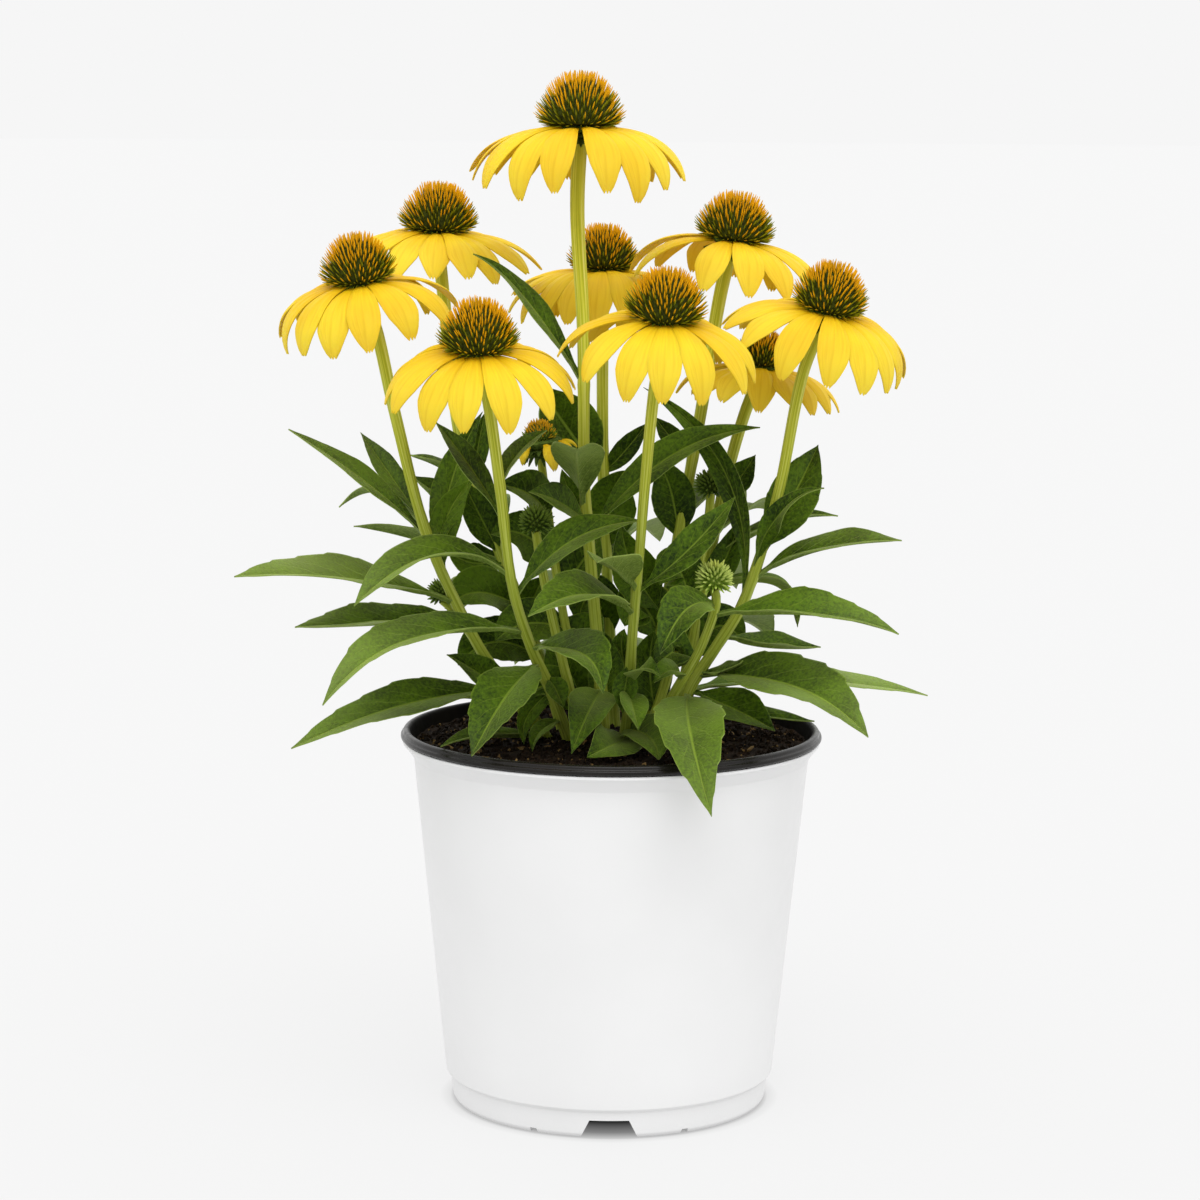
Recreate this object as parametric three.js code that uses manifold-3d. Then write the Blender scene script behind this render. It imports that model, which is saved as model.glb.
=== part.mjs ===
// A yellow coneflower in full bloom, growing in a white nursery pot with a charcoal rim.
// Millimetres, +Z up, the front towards -Y, the origin at the centre of the pot's foot.

import * as THREE from 'three';
import { mergeVertices } from 'three/addons/utils/BufferGeometryUtils.js';
import Module from 'manifold-3d';

const wasm = await Module();
wasm.setup();

// The pot: a white outer skin and a black inner skin, each one closed turned profile
const POT_SIDES = 32;
const SKIN = 1.2;
const CLEARANCE = 0.3;
const FOOT_OUTSIDE = [[72.4, 0], [73.5, 1.8], [74.9, 12.2], [75.7, 12.8]];
const FOOT_INSIDE = 70.4;
const WALL_OUTSIDE = [[76.9, 13.9], [78.1, 26], [92, 163]];
const FLOOR_HEIGHT = 9.2;
const FLOOR_RADIUS = 73.4;
const LINER_NECK = 93.4;
const FLANGE = [[96, 168.6], [97.2, 169.4], [97, 170.8]];
const FLANGE_NECK = 93.8;
const RIM_SECTION = [[96.8, 171.1], [98.1, 171.8], [98, 173.3], [97.1, 173.9], [96.8, 175.2], [95.8, 175.8],
  [94.6, 175.7], [93.7, 174.9], [92.3, 171]];
const BIG_NOTCHES = 3;
const BIG_NOTCH = { top: 18, bottom: 27, height: 8.4 };
const SMALL_NOTCH = { top: 2.6, bottom: 3.8, height: 1.6 };
const SMALL_NOTCH_OFFSET = 28;
const NOTCH_REACH = 12;
const DRAIN_HOLES = 4;
const DRAIN_RADIUS = 5;
const DRAIN_CIRCLE = 52;
const DRAIN_SIDES = 6;
const DRAIN_DEPTH = 30;

// The potting mix
const MIX_HEIGHT = 169.5;
const MIX_RADIUS = 91.2;
const MIX_MOUND = 2;
const MIX_LUMP = 0.9;
const MIX_RINGS = 3;
const MIX_SECTORS = 16;
const HOLE_CLEARANCE = 0.4;
const ROOT_DEPTH = 13;

// Stems and leaves
const STEM_SIDES = 6;
const STEM_STEPS = 6;
const LEAF_THICKNESS = 0.7;
const LEAF_FOLD = 20;
const STALK_WIDTH = 2.6;

// Rays, the yellow petals of a bloom
const RAY_THICKNESS = 0.6;
const RAY_WIDTH = 14.5;
const RAY_CURL = 1.45;
const COLLAR_RADIUS = 10;
const COLLAR_THICKNESS = 2.4;
const SMALL_RAY_LENGTH = 38;
const CUP_TOP = 7.2;
const CUP_BOTTOM = 3;
const CUP_DEPTH = 6;
const CUP_SIDES = 8;

// Cones, the bristly heads in the middle of the blooms
const CONE_SECTORS = 12;
const CONE_RINGS = 4;
const BRISTLE = 4.6;
const BRISTLE_SINK = 0.85;
const BUD_SECTORS = 8;
const BUD_RINGS = 5;

const UP = new THREE.Vector3(0, 0, 1);

const LEAF_GREEN = { color: '#587a2c', roughness: 0.6, metalness: 0 };
const YELLOW_RAY = { color: '#f7cf34', roughness: 0.55, metalness: 0 };
const CONE_BROWN = { color: '#7a6a1e', roughness: 0.75, metalness: 0 };
const YOUNG_CONE = { color: '#5c6a22', roughness: 0.75, metalness: 0 };
const WHITE_PLASTIC = { color: '#f1f1f0', roughness: 0.4, metalness: 0 };
const BLACK_PLASTIC = { color: '#2b2a29', roughness: 0.45, metalness: 0 };
const PEAT = { color: '#251a12', roughness: 0.95, metalness: 0 };

// Each stem: its path from the potting mix up to the head, its girth (radius low and high), and
// its leaves as [height on the stem, middle of the blade, tip, width, way the upper side faces, cut]
const PLANT = {
  top_bloom: {
    path: [[-3, -2, 169], [-6, -3, 208], [-10, -4, 253], [-13, -5, 289], [-14, -6, 361], [-17, -7, 416],
      [-16, -8, 448]],
    girth: [2.9, 2.5, 3.4],
    leaves: [
      [273, [-24, -22, 285], [-38, -36, 290], 17, [0, -1, 0.7], 'plain'],
      [277, [-16, -24, 304], [-16, -62, 312], 28, [0, -0.3, 1], 'plain'],
      [336, [-40, -12, 377], [-64, -14, 396], 14, [0, -0.5, 1], 'plain'],
      [194, [-10, -44, 193], [-18, -64, 175], 24, [0, -1, 0.6], 'plain'],
      [184, [-2, 7, 203], [-1, 11, 216], 19, [0, -1, 0.3], 'sessile'],
      [266, [25, 4, 303], [68, 6, 316], 18, [0, -0.8, 0.8], 'plain'],
    ],
  },
  upper_left_bloom: {
    path: [[-22, 16, 169], [-30, 25, 193], [-44, 34, 230], [-63, 38, 278], [-72, 40, 306], [-80, 46, 371],
      [-83, 48, 399]],
    girth: [2.8, 2.6, 3],
    leaves: [
      [285, [-64, 34, 301], [-60, 34, 320], 12, [0, -1, 0.3], 'plain'],
      [249, [-93, 34, 262], [-122, 30, 266], 20, [0, 0.3, 1], 'plain'],
      [252, [-63, 32, 249], [-77, 28, 254], 20, [0, -1, 0.5], 'sessile'],
      [287, [-82, 44, 295], [-97, 50, 298], 12, [0, 0, 1], 'plain'],
      [273, [-80, 46, 280], [-96, 52, 288], 16, [0, -0.5, 1], 'plain'],
      [249, [-63, 28, 273], [-71, 22, 290], 17, [0, -1, 0.3], 'plain'],
      [227, [-62, 18, 238], [-78, 8, 230], 26, [0, -1, 0.7], 'sessile'],
      [204, [-55, 18, 214], [-72, 10, 203], 26, [0, -1, 0.7], 'sessile'],
      [214, [-38, 26, 229], [-32, 24, 243], 24, [0, -1, 0.3], 'sessile'],
      [261, [-62, 66, 275], [-70, 96, 261], 26, [0, 0.2, 1], 'sessile'],
      [224, [-62, 62, 235], [-74, 92, 217], 30, [0, 0.2, 1], 'plain'],
      [199, [-38, 72, 205], [-48, 114, 187], 30, [0, 0.2, 1], 'plain'],
    ],
  },
  left_bloom: {
    path: [[-29, -4, 169], [-40, -8, 187], [-53, -12, 203], [-62, -15, 217], [-84, -22, 266],
      [-98, -29, 321], [-107, -34, 363], [-113, -37, 380]],
    girth: [2.8, 2.3, 2.9],
    leaves: [
      [268, [-113, -14, 293], [-149, -6, 315], 15, [0, -0.3, 1], 'plain'],
      [275, [-104, 0, 296], [-118, 22, 311], 12, [0, -1, 1], 'plain'],
      [271, [-107, 14, 285], [-129, 30, 275], 14, [0, 0.3, 1], 'plain'],
      [238, [-118, -62, 256], [-163, -112, 261], 30, [0.1, -0.4, 1], 'cut'],
      [232, [-109, -36, 232], [-142, -58, 231], 26, [0, -0.3, 1], 'cut'],
      [195, [-94, -42, 195], [-143, -70, 178], 26, [0, -0.5, 1], 'cut'],
      [192, [-73, 0, 191], [-89, 14, 187], 10, [0, 0.3, 1], 'plain'],
      [189, [-61, -24, 206], [-75, -34, 215], 17, [0, -1, 0.7], 'plain'],
      [173, [-58, -34, 179], [-77, -58, 177], 13, [0, -0.3, 1], 'plain'],
      [249, [-77, -4, 273], [-64, 10, 291], 15, [0, -1, 0.3], 'plain'],
      [256, [-75, 10, 290], [-61, 22, 321], 17, [0, -1, 0.3], 'plain'],
    ],
  },
  front_left_bloom: {
    path: [[-19, -10, 169], [-28, -24, 197], [-37, -38, 220], [-45, -55, 250], [-50, -68, 295],
      [-55, -79, 334], [-59, -84, 353]],
    girth: [2.8, 2.2, 2.6],
    leaves: [
      [255, [-80, -72, 268], [-113, -95, 246], 26, [0, -0.3, 1], 'plain'],
      [227, [-91, -85, 232], [-125, -118, 206], 28, [-0.3, -0.6, 1], 'cut'],
      [211, [-47, -62, 204], [-62, -86, 178], 30, [-0.4, -1, 0.6], 'cut'],
      [280, [-64, -44, 303], [-81, -20, 320], 13, [0.3, -1, 0.5], 'plain'],
      [296, [-43, -52, 310], [-30, -36, 318], 12, [-0.5, -0.8, 0.3], 'plain'],
      [203, [-26, -33, 201], [-22, -40, 192], 12, [0, -0.8, 0.8], 'plain'],
      [182, [-33, -33, 180], [-36, -42, 172], 9, [-0.4, -1, 0.4], 'plain'],
      [244, [-19, -52, 271], [13, -42, 278], 21, [0, -0.6, 1], 'plain'],
      [219, [-13, -72, 224], [-4, -90, 207], 28, [0.2, -0.8, 0.8], 'cut'],
    ],
  },
  rear_centre_bloom: {
    path: [[2, 24, 169], [0, 35, 197], [-4, 54, 278], [-5, 63, 324], [-5, 74, 381]],
    girth: [2.8, 2.5, 2.9],
    leaves: [
      [286, [-20, 50, 310], [-35, 40, 332], 34, [0, -1, 0.4], 'plain'],
      [254, [0, 44, 277], [7, 38, 292], 26, [0, -1, 0.3], 'sessile'],
      [214, [-10, 32, 233], [-16, 28, 221], 26, [0, -1, 0.5], 'sessile'],
      [184, [-10, 25, 206], [-18, 24, 225], 28, [0, -1, 0.3], 'sessile'],
      [299, [-22, 86, 317], [-36, 108, 309], 22, [0, 0.2, 1], 'sessile'],
      [290, [5, 56, 299], [16, 54, 313], 11, [0, -1, 0.3], 'sessile'],
      [262, [-17, 46, 276], [-24, 42, 292], 13, [0, -1, 0.3], 'sessile'],
      [249, [12, 80, 263], [24, 118, 249], 26, [0, 0.2, 1], 'sessile'],
      [224, [-18, 76, 235], [-34, 112, 221], 28, [0, 0.2, 1], 'plain'],
      [199, [20, 70, 204], [42, 110, 189], 30, [0, 0.2, 1], 'plain'],
    ],
  },
  front_right_bloom: {
    path: [[6, -15, 169], [8, -30, 197], [9, -41, 223], [12, -49, 264], [14, -55, 294],
      [18, -64, 340], [22, -69, 366]],
    girth: [2.6, 2.1, 2.7],
    leaves: [
      [199, [10, -52, 196], [12, -68, 187], 15, [0.3, -1, 0.8], 'plain'],
      [248, [0, -72, 264], [-7, -96, 266], 26, [0, 0, 1], 'plain'],
      [236, [-11, -72, 251], [-37, -96, 242], 30, [-0.2, -0.7, 1], 'cut'],
      [179, [17, -48, 182], [21, -70, 174], 26, [0, -1, 0.7], 'sessile'],
      [176, [1, -54, 179], [-11, -72, 175], 25, [0, -1, 0.5], 'sessile'],
      [213, [6, -41, 201], [5, -44, 190], 12, [0, -1, 0.2], 'plain'],
      [246, [33, -52, 266], [55, -40, 289], 16, [0, -0.8, 0.6], 'plain'],
      [204, [14, -56, 214], [22, -62, 210], 14, [0, -1, 1], 'plain'],
    ],
  },
  upper_right_bloom: {
    path: [[15, 21, 169], [22, 27, 208], [33, 32, 272], [41, 35, 318], [50, 39, 375], [55, 40, 397]],
    girth: [2.8, 2.5, 3.2],
    leaves: [
      [269, [50, 66, 283], [66, 94, 271], 26, [0, 0.2, 1], 'plain'],
      [234, [48, 66, 243], [62, 106, 227], 30, [0, 0.2, 1], 'plain'],
      [224, [10, 12, 249], [4, 4, 271], 24, [0, -1, 0.3], 'plain'],
      [300, [29, 33, 307], [20, 31, 318], 11, [0, -1, 0.3], 'sessile'],
      [261, [27, 26, 286], [20, 22, 298], 22, [0, -1, 0.4], 'sessile'],
      [214, [14, 22, 231], [6, 16, 221], 26, [0, -1, 0.6], 'sessile'],
      [180, [6, 15, 204], [6, 14, 220], 22, [0, -1, 0.2], 'sessile'],
    ],
  },
  right_bloom: {
    path: [[29, -5, 169], [36, -8, 195], [47, -12, 214], [59, -14, 234], [68, -17, 260], [76, -21, 291],
      [86, -26, 345], [95, -29, 368]],
    girth: [2.8, 2.3, 2.7],
    leaves: [
      [193, [35, -82, 189], [43, -127, 160], 34, [0, -1, 0.8], 'cut'],
      [238, [52, 10, 294], [14, 20, 333], 13, [-0.3, -1, 0.3], 'plain'],
      [257, [83, -10, 286], [95, 6, 308], 24, [0, -1, 0.3], 'plain'],
      [251, [76, -32, 282], [95, -40, 293], 11, [0.3, -0.6, 0.8], 'plain'],
      [248, [92, -26, 265], [130, -44, 270], 24, [0, -0.3, 1], 'plain'],
      [222, [74, -8, 218], [97, -4, 215], 20, [0, -0.2, 1], 'plain'],
      [202, [82, -52, 207], [113, -88, 188], 36, [0.2, -0.8, 1], 'cut'],
      [195, [58, -20, 189], [75, -30, 180], 23, [0.3, -0.8, 0.8], 'plain'],
      [204, [51, -20, 207], [60, -26, 212], 13, [0, -0.4, 1], 'plain'],
    ],
  },
  rear_right_bloom: {
    path: [[28, 14, 169], [34, 22, 192], [42, 30, 232], [55, 37, 294], [64, 42, 324], [70, 44, 337]],
    girth: [2.8, 2.5, 2.8],
    leaves: [
      [279, [59, 30, 289], [67, 28, 301], 14, [0, -1, 0.4], 'plain'],
      [251, [76, 26, 270], [106, 24, 273], 15, [0, -0.2, 1], 'plain'],
      [232, [54, 28, 253], [59, 26, 270], 15, [0, -1, 0.3], 'sessile'],
      [237, [77, 28, 242], [88, 30, 219], 16, [0, 0, 1], 'plain'],
      [189, [92, 76, 188], [160, 128, 170], 27, [0, -0.4, 1], 'cut'],
      [187, [70, 6, 182], [95, 2, 179], 14, [0, -0.3, 1], 'plain'],
      [204, [50, 24, 221], [62, 20, 213], 24, [0, -1, 0.6], 'sessile'],
      [261, [66, 56, 275], [84, 74, 265], 26, [0, 0.2, 1], 'plain'],
      [214, [60, 62, 221], [80, 92, 203], 30, [0, 0.2, 1], 'plain'],
    ],
  },
  young_bloom: {
    path: [[-11, 10, 169], [-24, 12, 234], [-31, 13, 281], [-34, 14, 304]],
    girth: [2.3, 2, 1.9],
    leaves: [
      [272, [-36, -6, 286], [-53, -16, 291], 24, [0, -1, 0.6], 'plain'],
      [249, [-40, 2, 266], [-56, -6, 267], 24, [0, -1, 0.5], 'sessile'],
      [221, [-40, 2, 225], [-54, -6, 217], 24, [0, -1, 0.6], 'sessile'],
      [237, [-16, 20, 249], [-6, 22, 263], 26, [0, -1, 0.4], 'sessile'],
      [204, [-14, 16, 215], [-4, 18, 225], 26, [0, -1, 0.4], 'sessile'],
      [182, [-22, 6, 200], [-29, 8, 215], 22, [0, -1, 0.3], 'sessile'],
    ],
  },
};

// Leafy shoots that end in a closed green bud
const SHOOTS = {
  right_front_bud_shoot: {
    path: [[19, -16, 170], [27, -25, 193], [40, -34, 218], [47, -40, 241], [46, -42, 247]],
    girth: [2.4, 2.2, 2],
    bud: { radius: 7.5, bristle: 2.6 },
    leaves: [
      [239, [33, -62, 242], [21, -74, 222], 23, [-0.3, -1, 0.5], 'cut'],
      [235, [89, -56, 241], [128, -62, 230], 28, [0, -0.35, 1], 'cut'],
      [204, [27, -42, 211], [19, -48, 205], 13, [0, -1, 1], 'plain'],
    ],
  },
  centre_bud_shoot: {
    path: [[-13, -7, 170], [-24, -13, 214], [-33, -22, 257], [-35, -26, 271]],
    girth: [2.4, 2.2, 2],
    bud: { radius: 7, bristle: 2.2 },
    leaves: [
      [199, [-37, -17, 187], [-40, -29, 173], 10, [0, -1, 0.5], 'plain'],
      [185, [-30, -8, 197], [-39, -14, 191], 22, [0, -1, 0.6], 'sessile'],
    ],
  },
  rear_right_bud_shoot: {
    path: [[17, 6, 169], [37, 14, 235], [45, 20, 272], [46, 22, 283]],
    girth: [2.4, 2.2, 2],
    bud: { radius: 7, bristle: 2.2 },
    leaves: [
      [234, [30, 6, 251], [22, 0, 243], 22, [0, -1, 0.5], 'sessile'],
      [204, [30, 2, 213], [20, -6, 206], 22, [0, -1, 0.6], 'sessile'],
      [181, [18, 12, 202], [20, 14, 219], 22, [0, -1, 0.2], 'sessile'],
    ],
  },
  left_bud_shoot: {
    path: [[-32, 8, 169], [-52, 7, 196], [-73, 2, 229], [-79, 0, 235]],
    girth: [2.2, 2, 1.8],
    bud: { radius: 6, bristle: 1.8 },
    leaves: [],
  },
};

// Each bloom: centre of the cone's base, the way it looks, the cone's radius and height over the
// bristles, and its rays as [way it points, length, droop at the tip], the angles in degrees
const BLOOMS = {
  top_bloom: {
    at: [-16, -8, 454], axis: [0, 0, 1], cone: [20.5, 24.5],
    rays: [[168, 48, 60], [187, 49, 74], [208, 52, 84], [232, 54, 105], [255, 50, 100], [287, 50, 98],
      [308, 55, 108], [330, 50, 90], [352, 49, 76], [16, 48, 70], [44, 48, 82], [70, 47, 75], [96, 47, 78],
      [122, 47, 75], [146, 47, 70]],
  },
  upper_left_bloom: {
    at: [-83, 48, 405], axis: [0.03, -0.05, 1], cone: [19, 22.5],
    rays: [[12, 45, 52], [335, 43, 54], [310, 44, 70], [291, 43, 60], [271, 43, 60], [248, 43, 64],
      [222, 43, 62], [196, 43, 62], [170, 44, 66], [145, 43, 68], [120, 43, 75], [95, 44, 82], [70, 43, 66],
      [44, 43, 54]],
  },
  left_bloom: {
    at: [-114, -38, 385], axis: [-0.14, -0.14, 1], cone: [17.6, 21.5],
    rays: [[18, 41, 70], [338, 44, 88], [303, 42, 86], [274, 44, 92], [251, 45, 94], [228, 44, 92],
      [196, 44, 102], [165, 42, 80], [142, 41, 85], [120, 42, 98], [96, 41, 85], [70, 41, 80], [44, 41, 98]],
  },
  front_left_bloom: {
    at: [-59, -85, 358], axis: [-0.02, -0.2, 1], cone: [18.2, 22.5],
    rays: [[345, 42, 78], [317, 44, 80], [289, 48, 92], [262, 46, 89], [239, 46, 92], [214, 43, 74],
      [190, 42, 80], [164, 41, 84], [140, 41, 75], [115, 41, 75], [90, 41, 75], [63, 41, 68], [34, 41, 80],
      [8, 40, 72]],
  },
  rear_centre_bloom: {
    at: [-5, 75, 386], axis: [0, 0, 1], cone: [17.6, 21.5],
    rays: [[150, 44, 42], [178, 44, 70], [203, 46, 90], [225, 44, 88], [246, 44, 88], [266, 46, 95],
      [288, 45, 98], [312, 44, 90], [338, 43, 75], [4, 43, 72], [30, 43, 75], [56, 43, 75], [92, 43, 80],
      [126, 44, 92]],
  },
  front_right_bloom: {
    at: [22, -70, 371], axis: [0.07, -0.18, 1], cone: [18.8, 22.5],
    rays: [[177, 44, 70], [223, 46, 78], [250, 49, 94], [271, 48, 94], [295, 49, 95], [325, 46, 80],
      [349, 44, 84], [13, 40, 100], [40, 40, 104], [64, 42, 88], [88, 43, 72], [112, 43, 72], [134, 43, 72],
      [155, 43, 72]],
  },
  upper_right_bloom: {
    at: [56, 40, 402], axis: [0.14, -0.05, 1], cone: [19.2, 22],
    rays: [[165, 47, 74], [196, 45, 74], [254, 44, 77], [282, 44, 78], [306, 44, 68], [332, 44, 66],
      [356, 43, 64], [26, 43, 64], [56, 45, 88], [84, 43, 75], [110, 43, 75], [138, 43, 72]],
  },
  right_bloom: {
    at: [96, -30, 373], axis: [0.22, -0.16, 1], cone: [17.8, 22],
    rays: [[168, 42, 65], [145, 42, 80], [195, 41, 56], [218, 42, 66], [247, 48, 98], [276, 46, 92],
      [299, 47, 89], [320, 46, 90], [345, 45, 98], [6, 43, 84], [30, 42, 78], [55, 42, 75], [80, 42, 75],
      [102, 42, 75], [123, 42, 75]],
  },
  rear_right_bloom: {
    at: [70, 44, 342], axis: [0.1, 0, 1], cone: [14, 17],
    rays: [[142, 36, 74], [171, 36, 70], [220, 35, 68], [243, 36, 60], [269, 36, 80], [291, 35, 52],
      [311, 36, 74], [331, 36, 74], [355, 36, 70], [28, 35, 60], [58, 35, 70], [86, 35, 75], [114, 35, 75]],
  },
};
const YOUNG_BLOOM = {
  at: [-34, 14, 309], axis: [-0.12, -0.05, 1], cone: [8, 9.5],
  rays: [[20, 9, 60], [60, 8, 50], [95, 9, 50], [130, 8, 50], [165, 9, 60], [200, 9, 70], [240, 12, 95],
    [285, 19, 95], [330, 10, 80]],
};

// Blade outlines as [distance from root to tip, half width], both as shares of the whole
const SESSILE_LEAF = [[0, 0], [0.32, 0.88], [0.62, 0.88], [1, 0.04]];
const PLAIN_LEAF = [[0, 0], [0.16, 0], [0.38, 0.92], [0.66, 0.82], [1, 0.04]];
const CUT_LEAF = [[0, 0], [0.15, 0], [0.3, 0.82], [0.42, 1], [0.46, 0.88], [0.62, 0.92], [0.66, 0.76],
  [1, 0.04]];
const LEAF_OUTLINES = { sessile: SESSILE_LEAF, plain: PLAIN_LEAF, cut: CUT_LEAF };
const RAY_OUTLINE = [[0, 0.34], [0.34, 0.78], [0.7, 1], [1, 0.42]];

// A repeatable stream of numbers from 0 to 1
function seeded(seed) {
  let state = seed;
  return () => {
    state = (state + 0x6d2b79f5) | 0;
    let mixed = Math.imul(state ^ (state >>> 15), 1 | state);
    mixed = (mixed + Math.imul(mixed ^ (mixed >>> 7), 61 | mixed)) ^ mixed;
    return ((mixed ^ (mixed >>> 14)) >>> 0) / 4294967296;
  };
}

function vector(numbers) {
  return new THREE.Vector3(...numbers);
}

function degrees(angle) {
  return THREE.MathUtils.degToRad(angle);
}

// A closed triangle mesh as a solid that can be joined and cut
function solidOf(geometry) {
  const bare = geometry.clone();
  bare.deleteAttribute('normal');
  bare.deleteAttribute('uv');
  const merged = mergeVertices(bare, 1e-4);
  return new wasm.Manifold(new wasm.Mesh({
    numProp: 3,
    vertProperties: new Float32Array(merged.attributes.position.array),
    triVerts: new Uint32Array(merged.index.array),
  }));
}

// The triangle mesh of a solid
function geometryOf(solid) {
  const mesh = solid.getMesh();
  const geometry = new THREE.BufferGeometry();
  geometry.setAttribute('position', new THREE.BufferAttribute(new Float32Array(mesh.vertProperties), 3));
  geometry.setIndex(new THREE.BufferAttribute(new Uint32Array(mesh.triVerts), 1));
  geometry.computeVertexNormals();
  return geometry;
}

function joined(solids) {
  return solids.reduce((whole, next) => whole.add(next));
}

// A skin stretched over rings of points that all have the same count, with flat ends
function loft(rings) {
  const count = rings[0].length;
  const positions = rings.flat().flatMap((point) => [point.x, point.y, point.z]);
  const index = [];
  for (let ring = 0; ring < rings.length - 1; ring += 1) {
    for (let side = 0; side < count; side += 1) {
      const a = ring * count + side;
      const b = ring * count + ((side + 1) % count);
      index.push(a, b, b + count, a, b + count, a + count);
    }
  }
  const last = (rings.length - 1) * count;
  for (let side = 1; side < count - 1; side += 1) {
    index.push(0, side + 1, side);
    index.push(last, last + side, last + side + 1);
  }
  const geometry = new THREE.BufferGeometry();
  geometry.setAttribute('position', new THREE.BufferAttribute(new Float32Array(positions), 3));
  geometry.setIndex(index);
  return geometry;
}

// A ring or a dish turned about the pot's axis from a profile of [radius, height] corners
function turned(profile) {
  const corners = [...profile, profile[0]].map(([radius, height]) => new THREE.Vector2(radius, height));
  const geometry = new THREE.LatheGeometry(corners, POT_SIDES);
  geometry.rotateX(Math.PI / 2);
  return geometry;
}

// A block with sloping ends, standing on the floor and reaching out through the foot
function notchCutter({ top, bottom, height }, angle) {
  const outline = new THREE.Shape([
    new THREE.Vector2(-bottom / 2, -1),
    new THREE.Vector2(bottom / 2, -1),
    new THREE.Vector2(top / 2, height),
    new THREE.Vector2(-top / 2, height),
  ]);
  const [[footRadius]] = FOOT_OUTSIDE;
  const geometry = new THREE.ExtrudeGeometry(outline, { depth: NOTCH_REACH, bevelEnabled: false });
  geometry.rotateX(Math.PI / 2);
  geometry.translate(0, NOTCH_REACH / 2 - footRadius, 0);
  geometry.rotateZ(angle);
  return solidOf(geometry);
}

// The upright cutters for the drainage holes in the floor
function drainCutters() {
  const holes = [];
  for (let hole = 0; hole < DRAIN_HOLES; hole += 1) {
    const angle = ((hole + 0.5) * 2 * Math.PI) / DRAIN_HOLES;
    const cutter = new THREE.CylinderGeometry(DRAIN_RADIUS, DRAIN_RADIUS, DRAIN_DEPTH, DRAIN_SIDES);
    cutter.rotateX(Math.PI / 2);
    cutter.translate(DRAIN_CIRCLE * Math.cos(angle), DRAIN_CIRCLE * Math.sin(angle), 0);
    holes.push(solidOf(cutter));
  }
  return joined(holes);
}

// The white outer pot: foot, groove, tapering wall and the flange under the rim
function potWall() {
  const inside = WALL_OUTSIDE.map(([radius, height]) => [radius - SKIN, height]).reverse();
  const floorTop = FLOOR_HEIGHT + SKIN;
  const [, flangeTop] = FLANGE[FLANGE.length - 1];
  let wall = solidOf(turned([
    ...FOOT_OUTSIDE, ...WALL_OUTSIDE, ...FLANGE, [FLANGE_NECK, flangeTop], ...inside,
    [FLOOR_RADIUS, floorTop], [0, floorTop], [0, FLOOR_HEIGHT], [FOOT_INSIDE, FLOOR_HEIGHT], [FOOT_INSIDE, 0],
  ]));
  for (let notch = 0; notch < BIG_NOTCHES; notch += 1) {
    const angle = (notch * 2 * Math.PI) / BIG_NOTCHES;
    wall = wall.subtract(notchCutter(BIG_NOTCH, angle));
    wall = wall.subtract(notchCutter(SMALL_NOTCH, angle + degrees(SMALL_NOTCH_OFFSET)));
    wall = wall.subtract(notchCutter(SMALL_NOTCH, angle - degrees(SMALL_NOTCH_OFFSET)));
  }
  return geometryOf(wall.subtract(drainCutters()));
}

// The liner follows the wall's inside, a clearance away, and turns over the wall's top as the rim
function linerProfile() {
  const outside = WALL_OUTSIDE.map(([radius, height]) => [radius - SKIN - CLEARANCE, height]);
  const inside = WALL_OUTSIDE.map(([radius, height]) => [radius - 2 * SKIN - CLEARANCE, height]).reverse();
  const floor = FLOOR_HEIGHT + SKIN + CLEARANCE;
  return { outside, inside, floor };
}

// The black inner pot with the rolled rim
function potLiner() {
  const { outside, inside, floor } = linerProfile();
  const liner = solidOf(turned([
    [0, floor], [FLOOR_RADIUS - CLEARANCE, floor], ...outside, [LINER_NECK, RIM_SECTION[0][1]],
    ...RIM_SECTION, ...inside, [FLOOR_RADIUS - CLEARANCE - SKIN, floor + SKIN], [0, floor + SKIN],
  ]));
  return geometryOf(liner.subtract(drainCutters()));
}

// The height of the mix at a distance from the pot's axis, with chance lumps
function mixHeight(radius, random) {
  const share = radius / MIX_RADIUS;
  return MIX_HEIGHT + MIX_MOUND * (1 - share * share) + MIX_LUMP * (2 * random() - 1);
}

// The potting mix fills the liner, with a lumpy, slightly mounded top and a hole for each stem
function pottingMix(stems) {
  const random = seeded(7);
  const { inside, floor } = linerProfile();
  const bottom = floor + SKIN + CLEARANCE;
  const [low, middle, high] = inside.map(([radius, height]) => [radius - CLEARANCE, height]).reverse();
  const profile = [[FLOOR_RADIUS - 2 * SKIN, bottom], low, middle, high, [MIX_RADIUS, MIX_HEIGHT]];
  const levelRows = profile.length;
  for (let ring = 1; ring <= MIX_RINGS; ring += 1) {
    profile.push([MIX_RADIUS * (1 - ring / (MIX_RINGS + 1)), MIX_HEIGHT]);
  }
  const rings = profile.map(([radius], row) => {
    const ring = [];
    for (let sector = 0; sector < MIX_SECTORS; sector += 1) {
      const angle = (sector * 2 * Math.PI) / MIX_SECTORS;
      const height = row < levelRows ? profile[row][1] : mixHeight(radius, random);
      ring.push(new THREE.Vector3(radius * Math.cos(angle), radius * Math.sin(angle), height));
    }
    return ring;
  });
  let mix = solidOf(loft(rings));
  for (const stem of stems) {
    mix = mix.subtract(solidOf(limb(stem, HOLE_CLEARANCE)));
  }
  return geometryOf(mix);
}

// The line that a stem follows, carried down into the mix along its first stretch
function stemCurve({ path }) {
  const points = path.map(vector);
  const down = points[0].clone().sub(points[1]).normalize().multiplyScalar(ROOT_DEPTH);
  return new THREE.CatmullRomCurve3([points[0].clone().add(down), ...points], false, 'centripetal');
}

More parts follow.
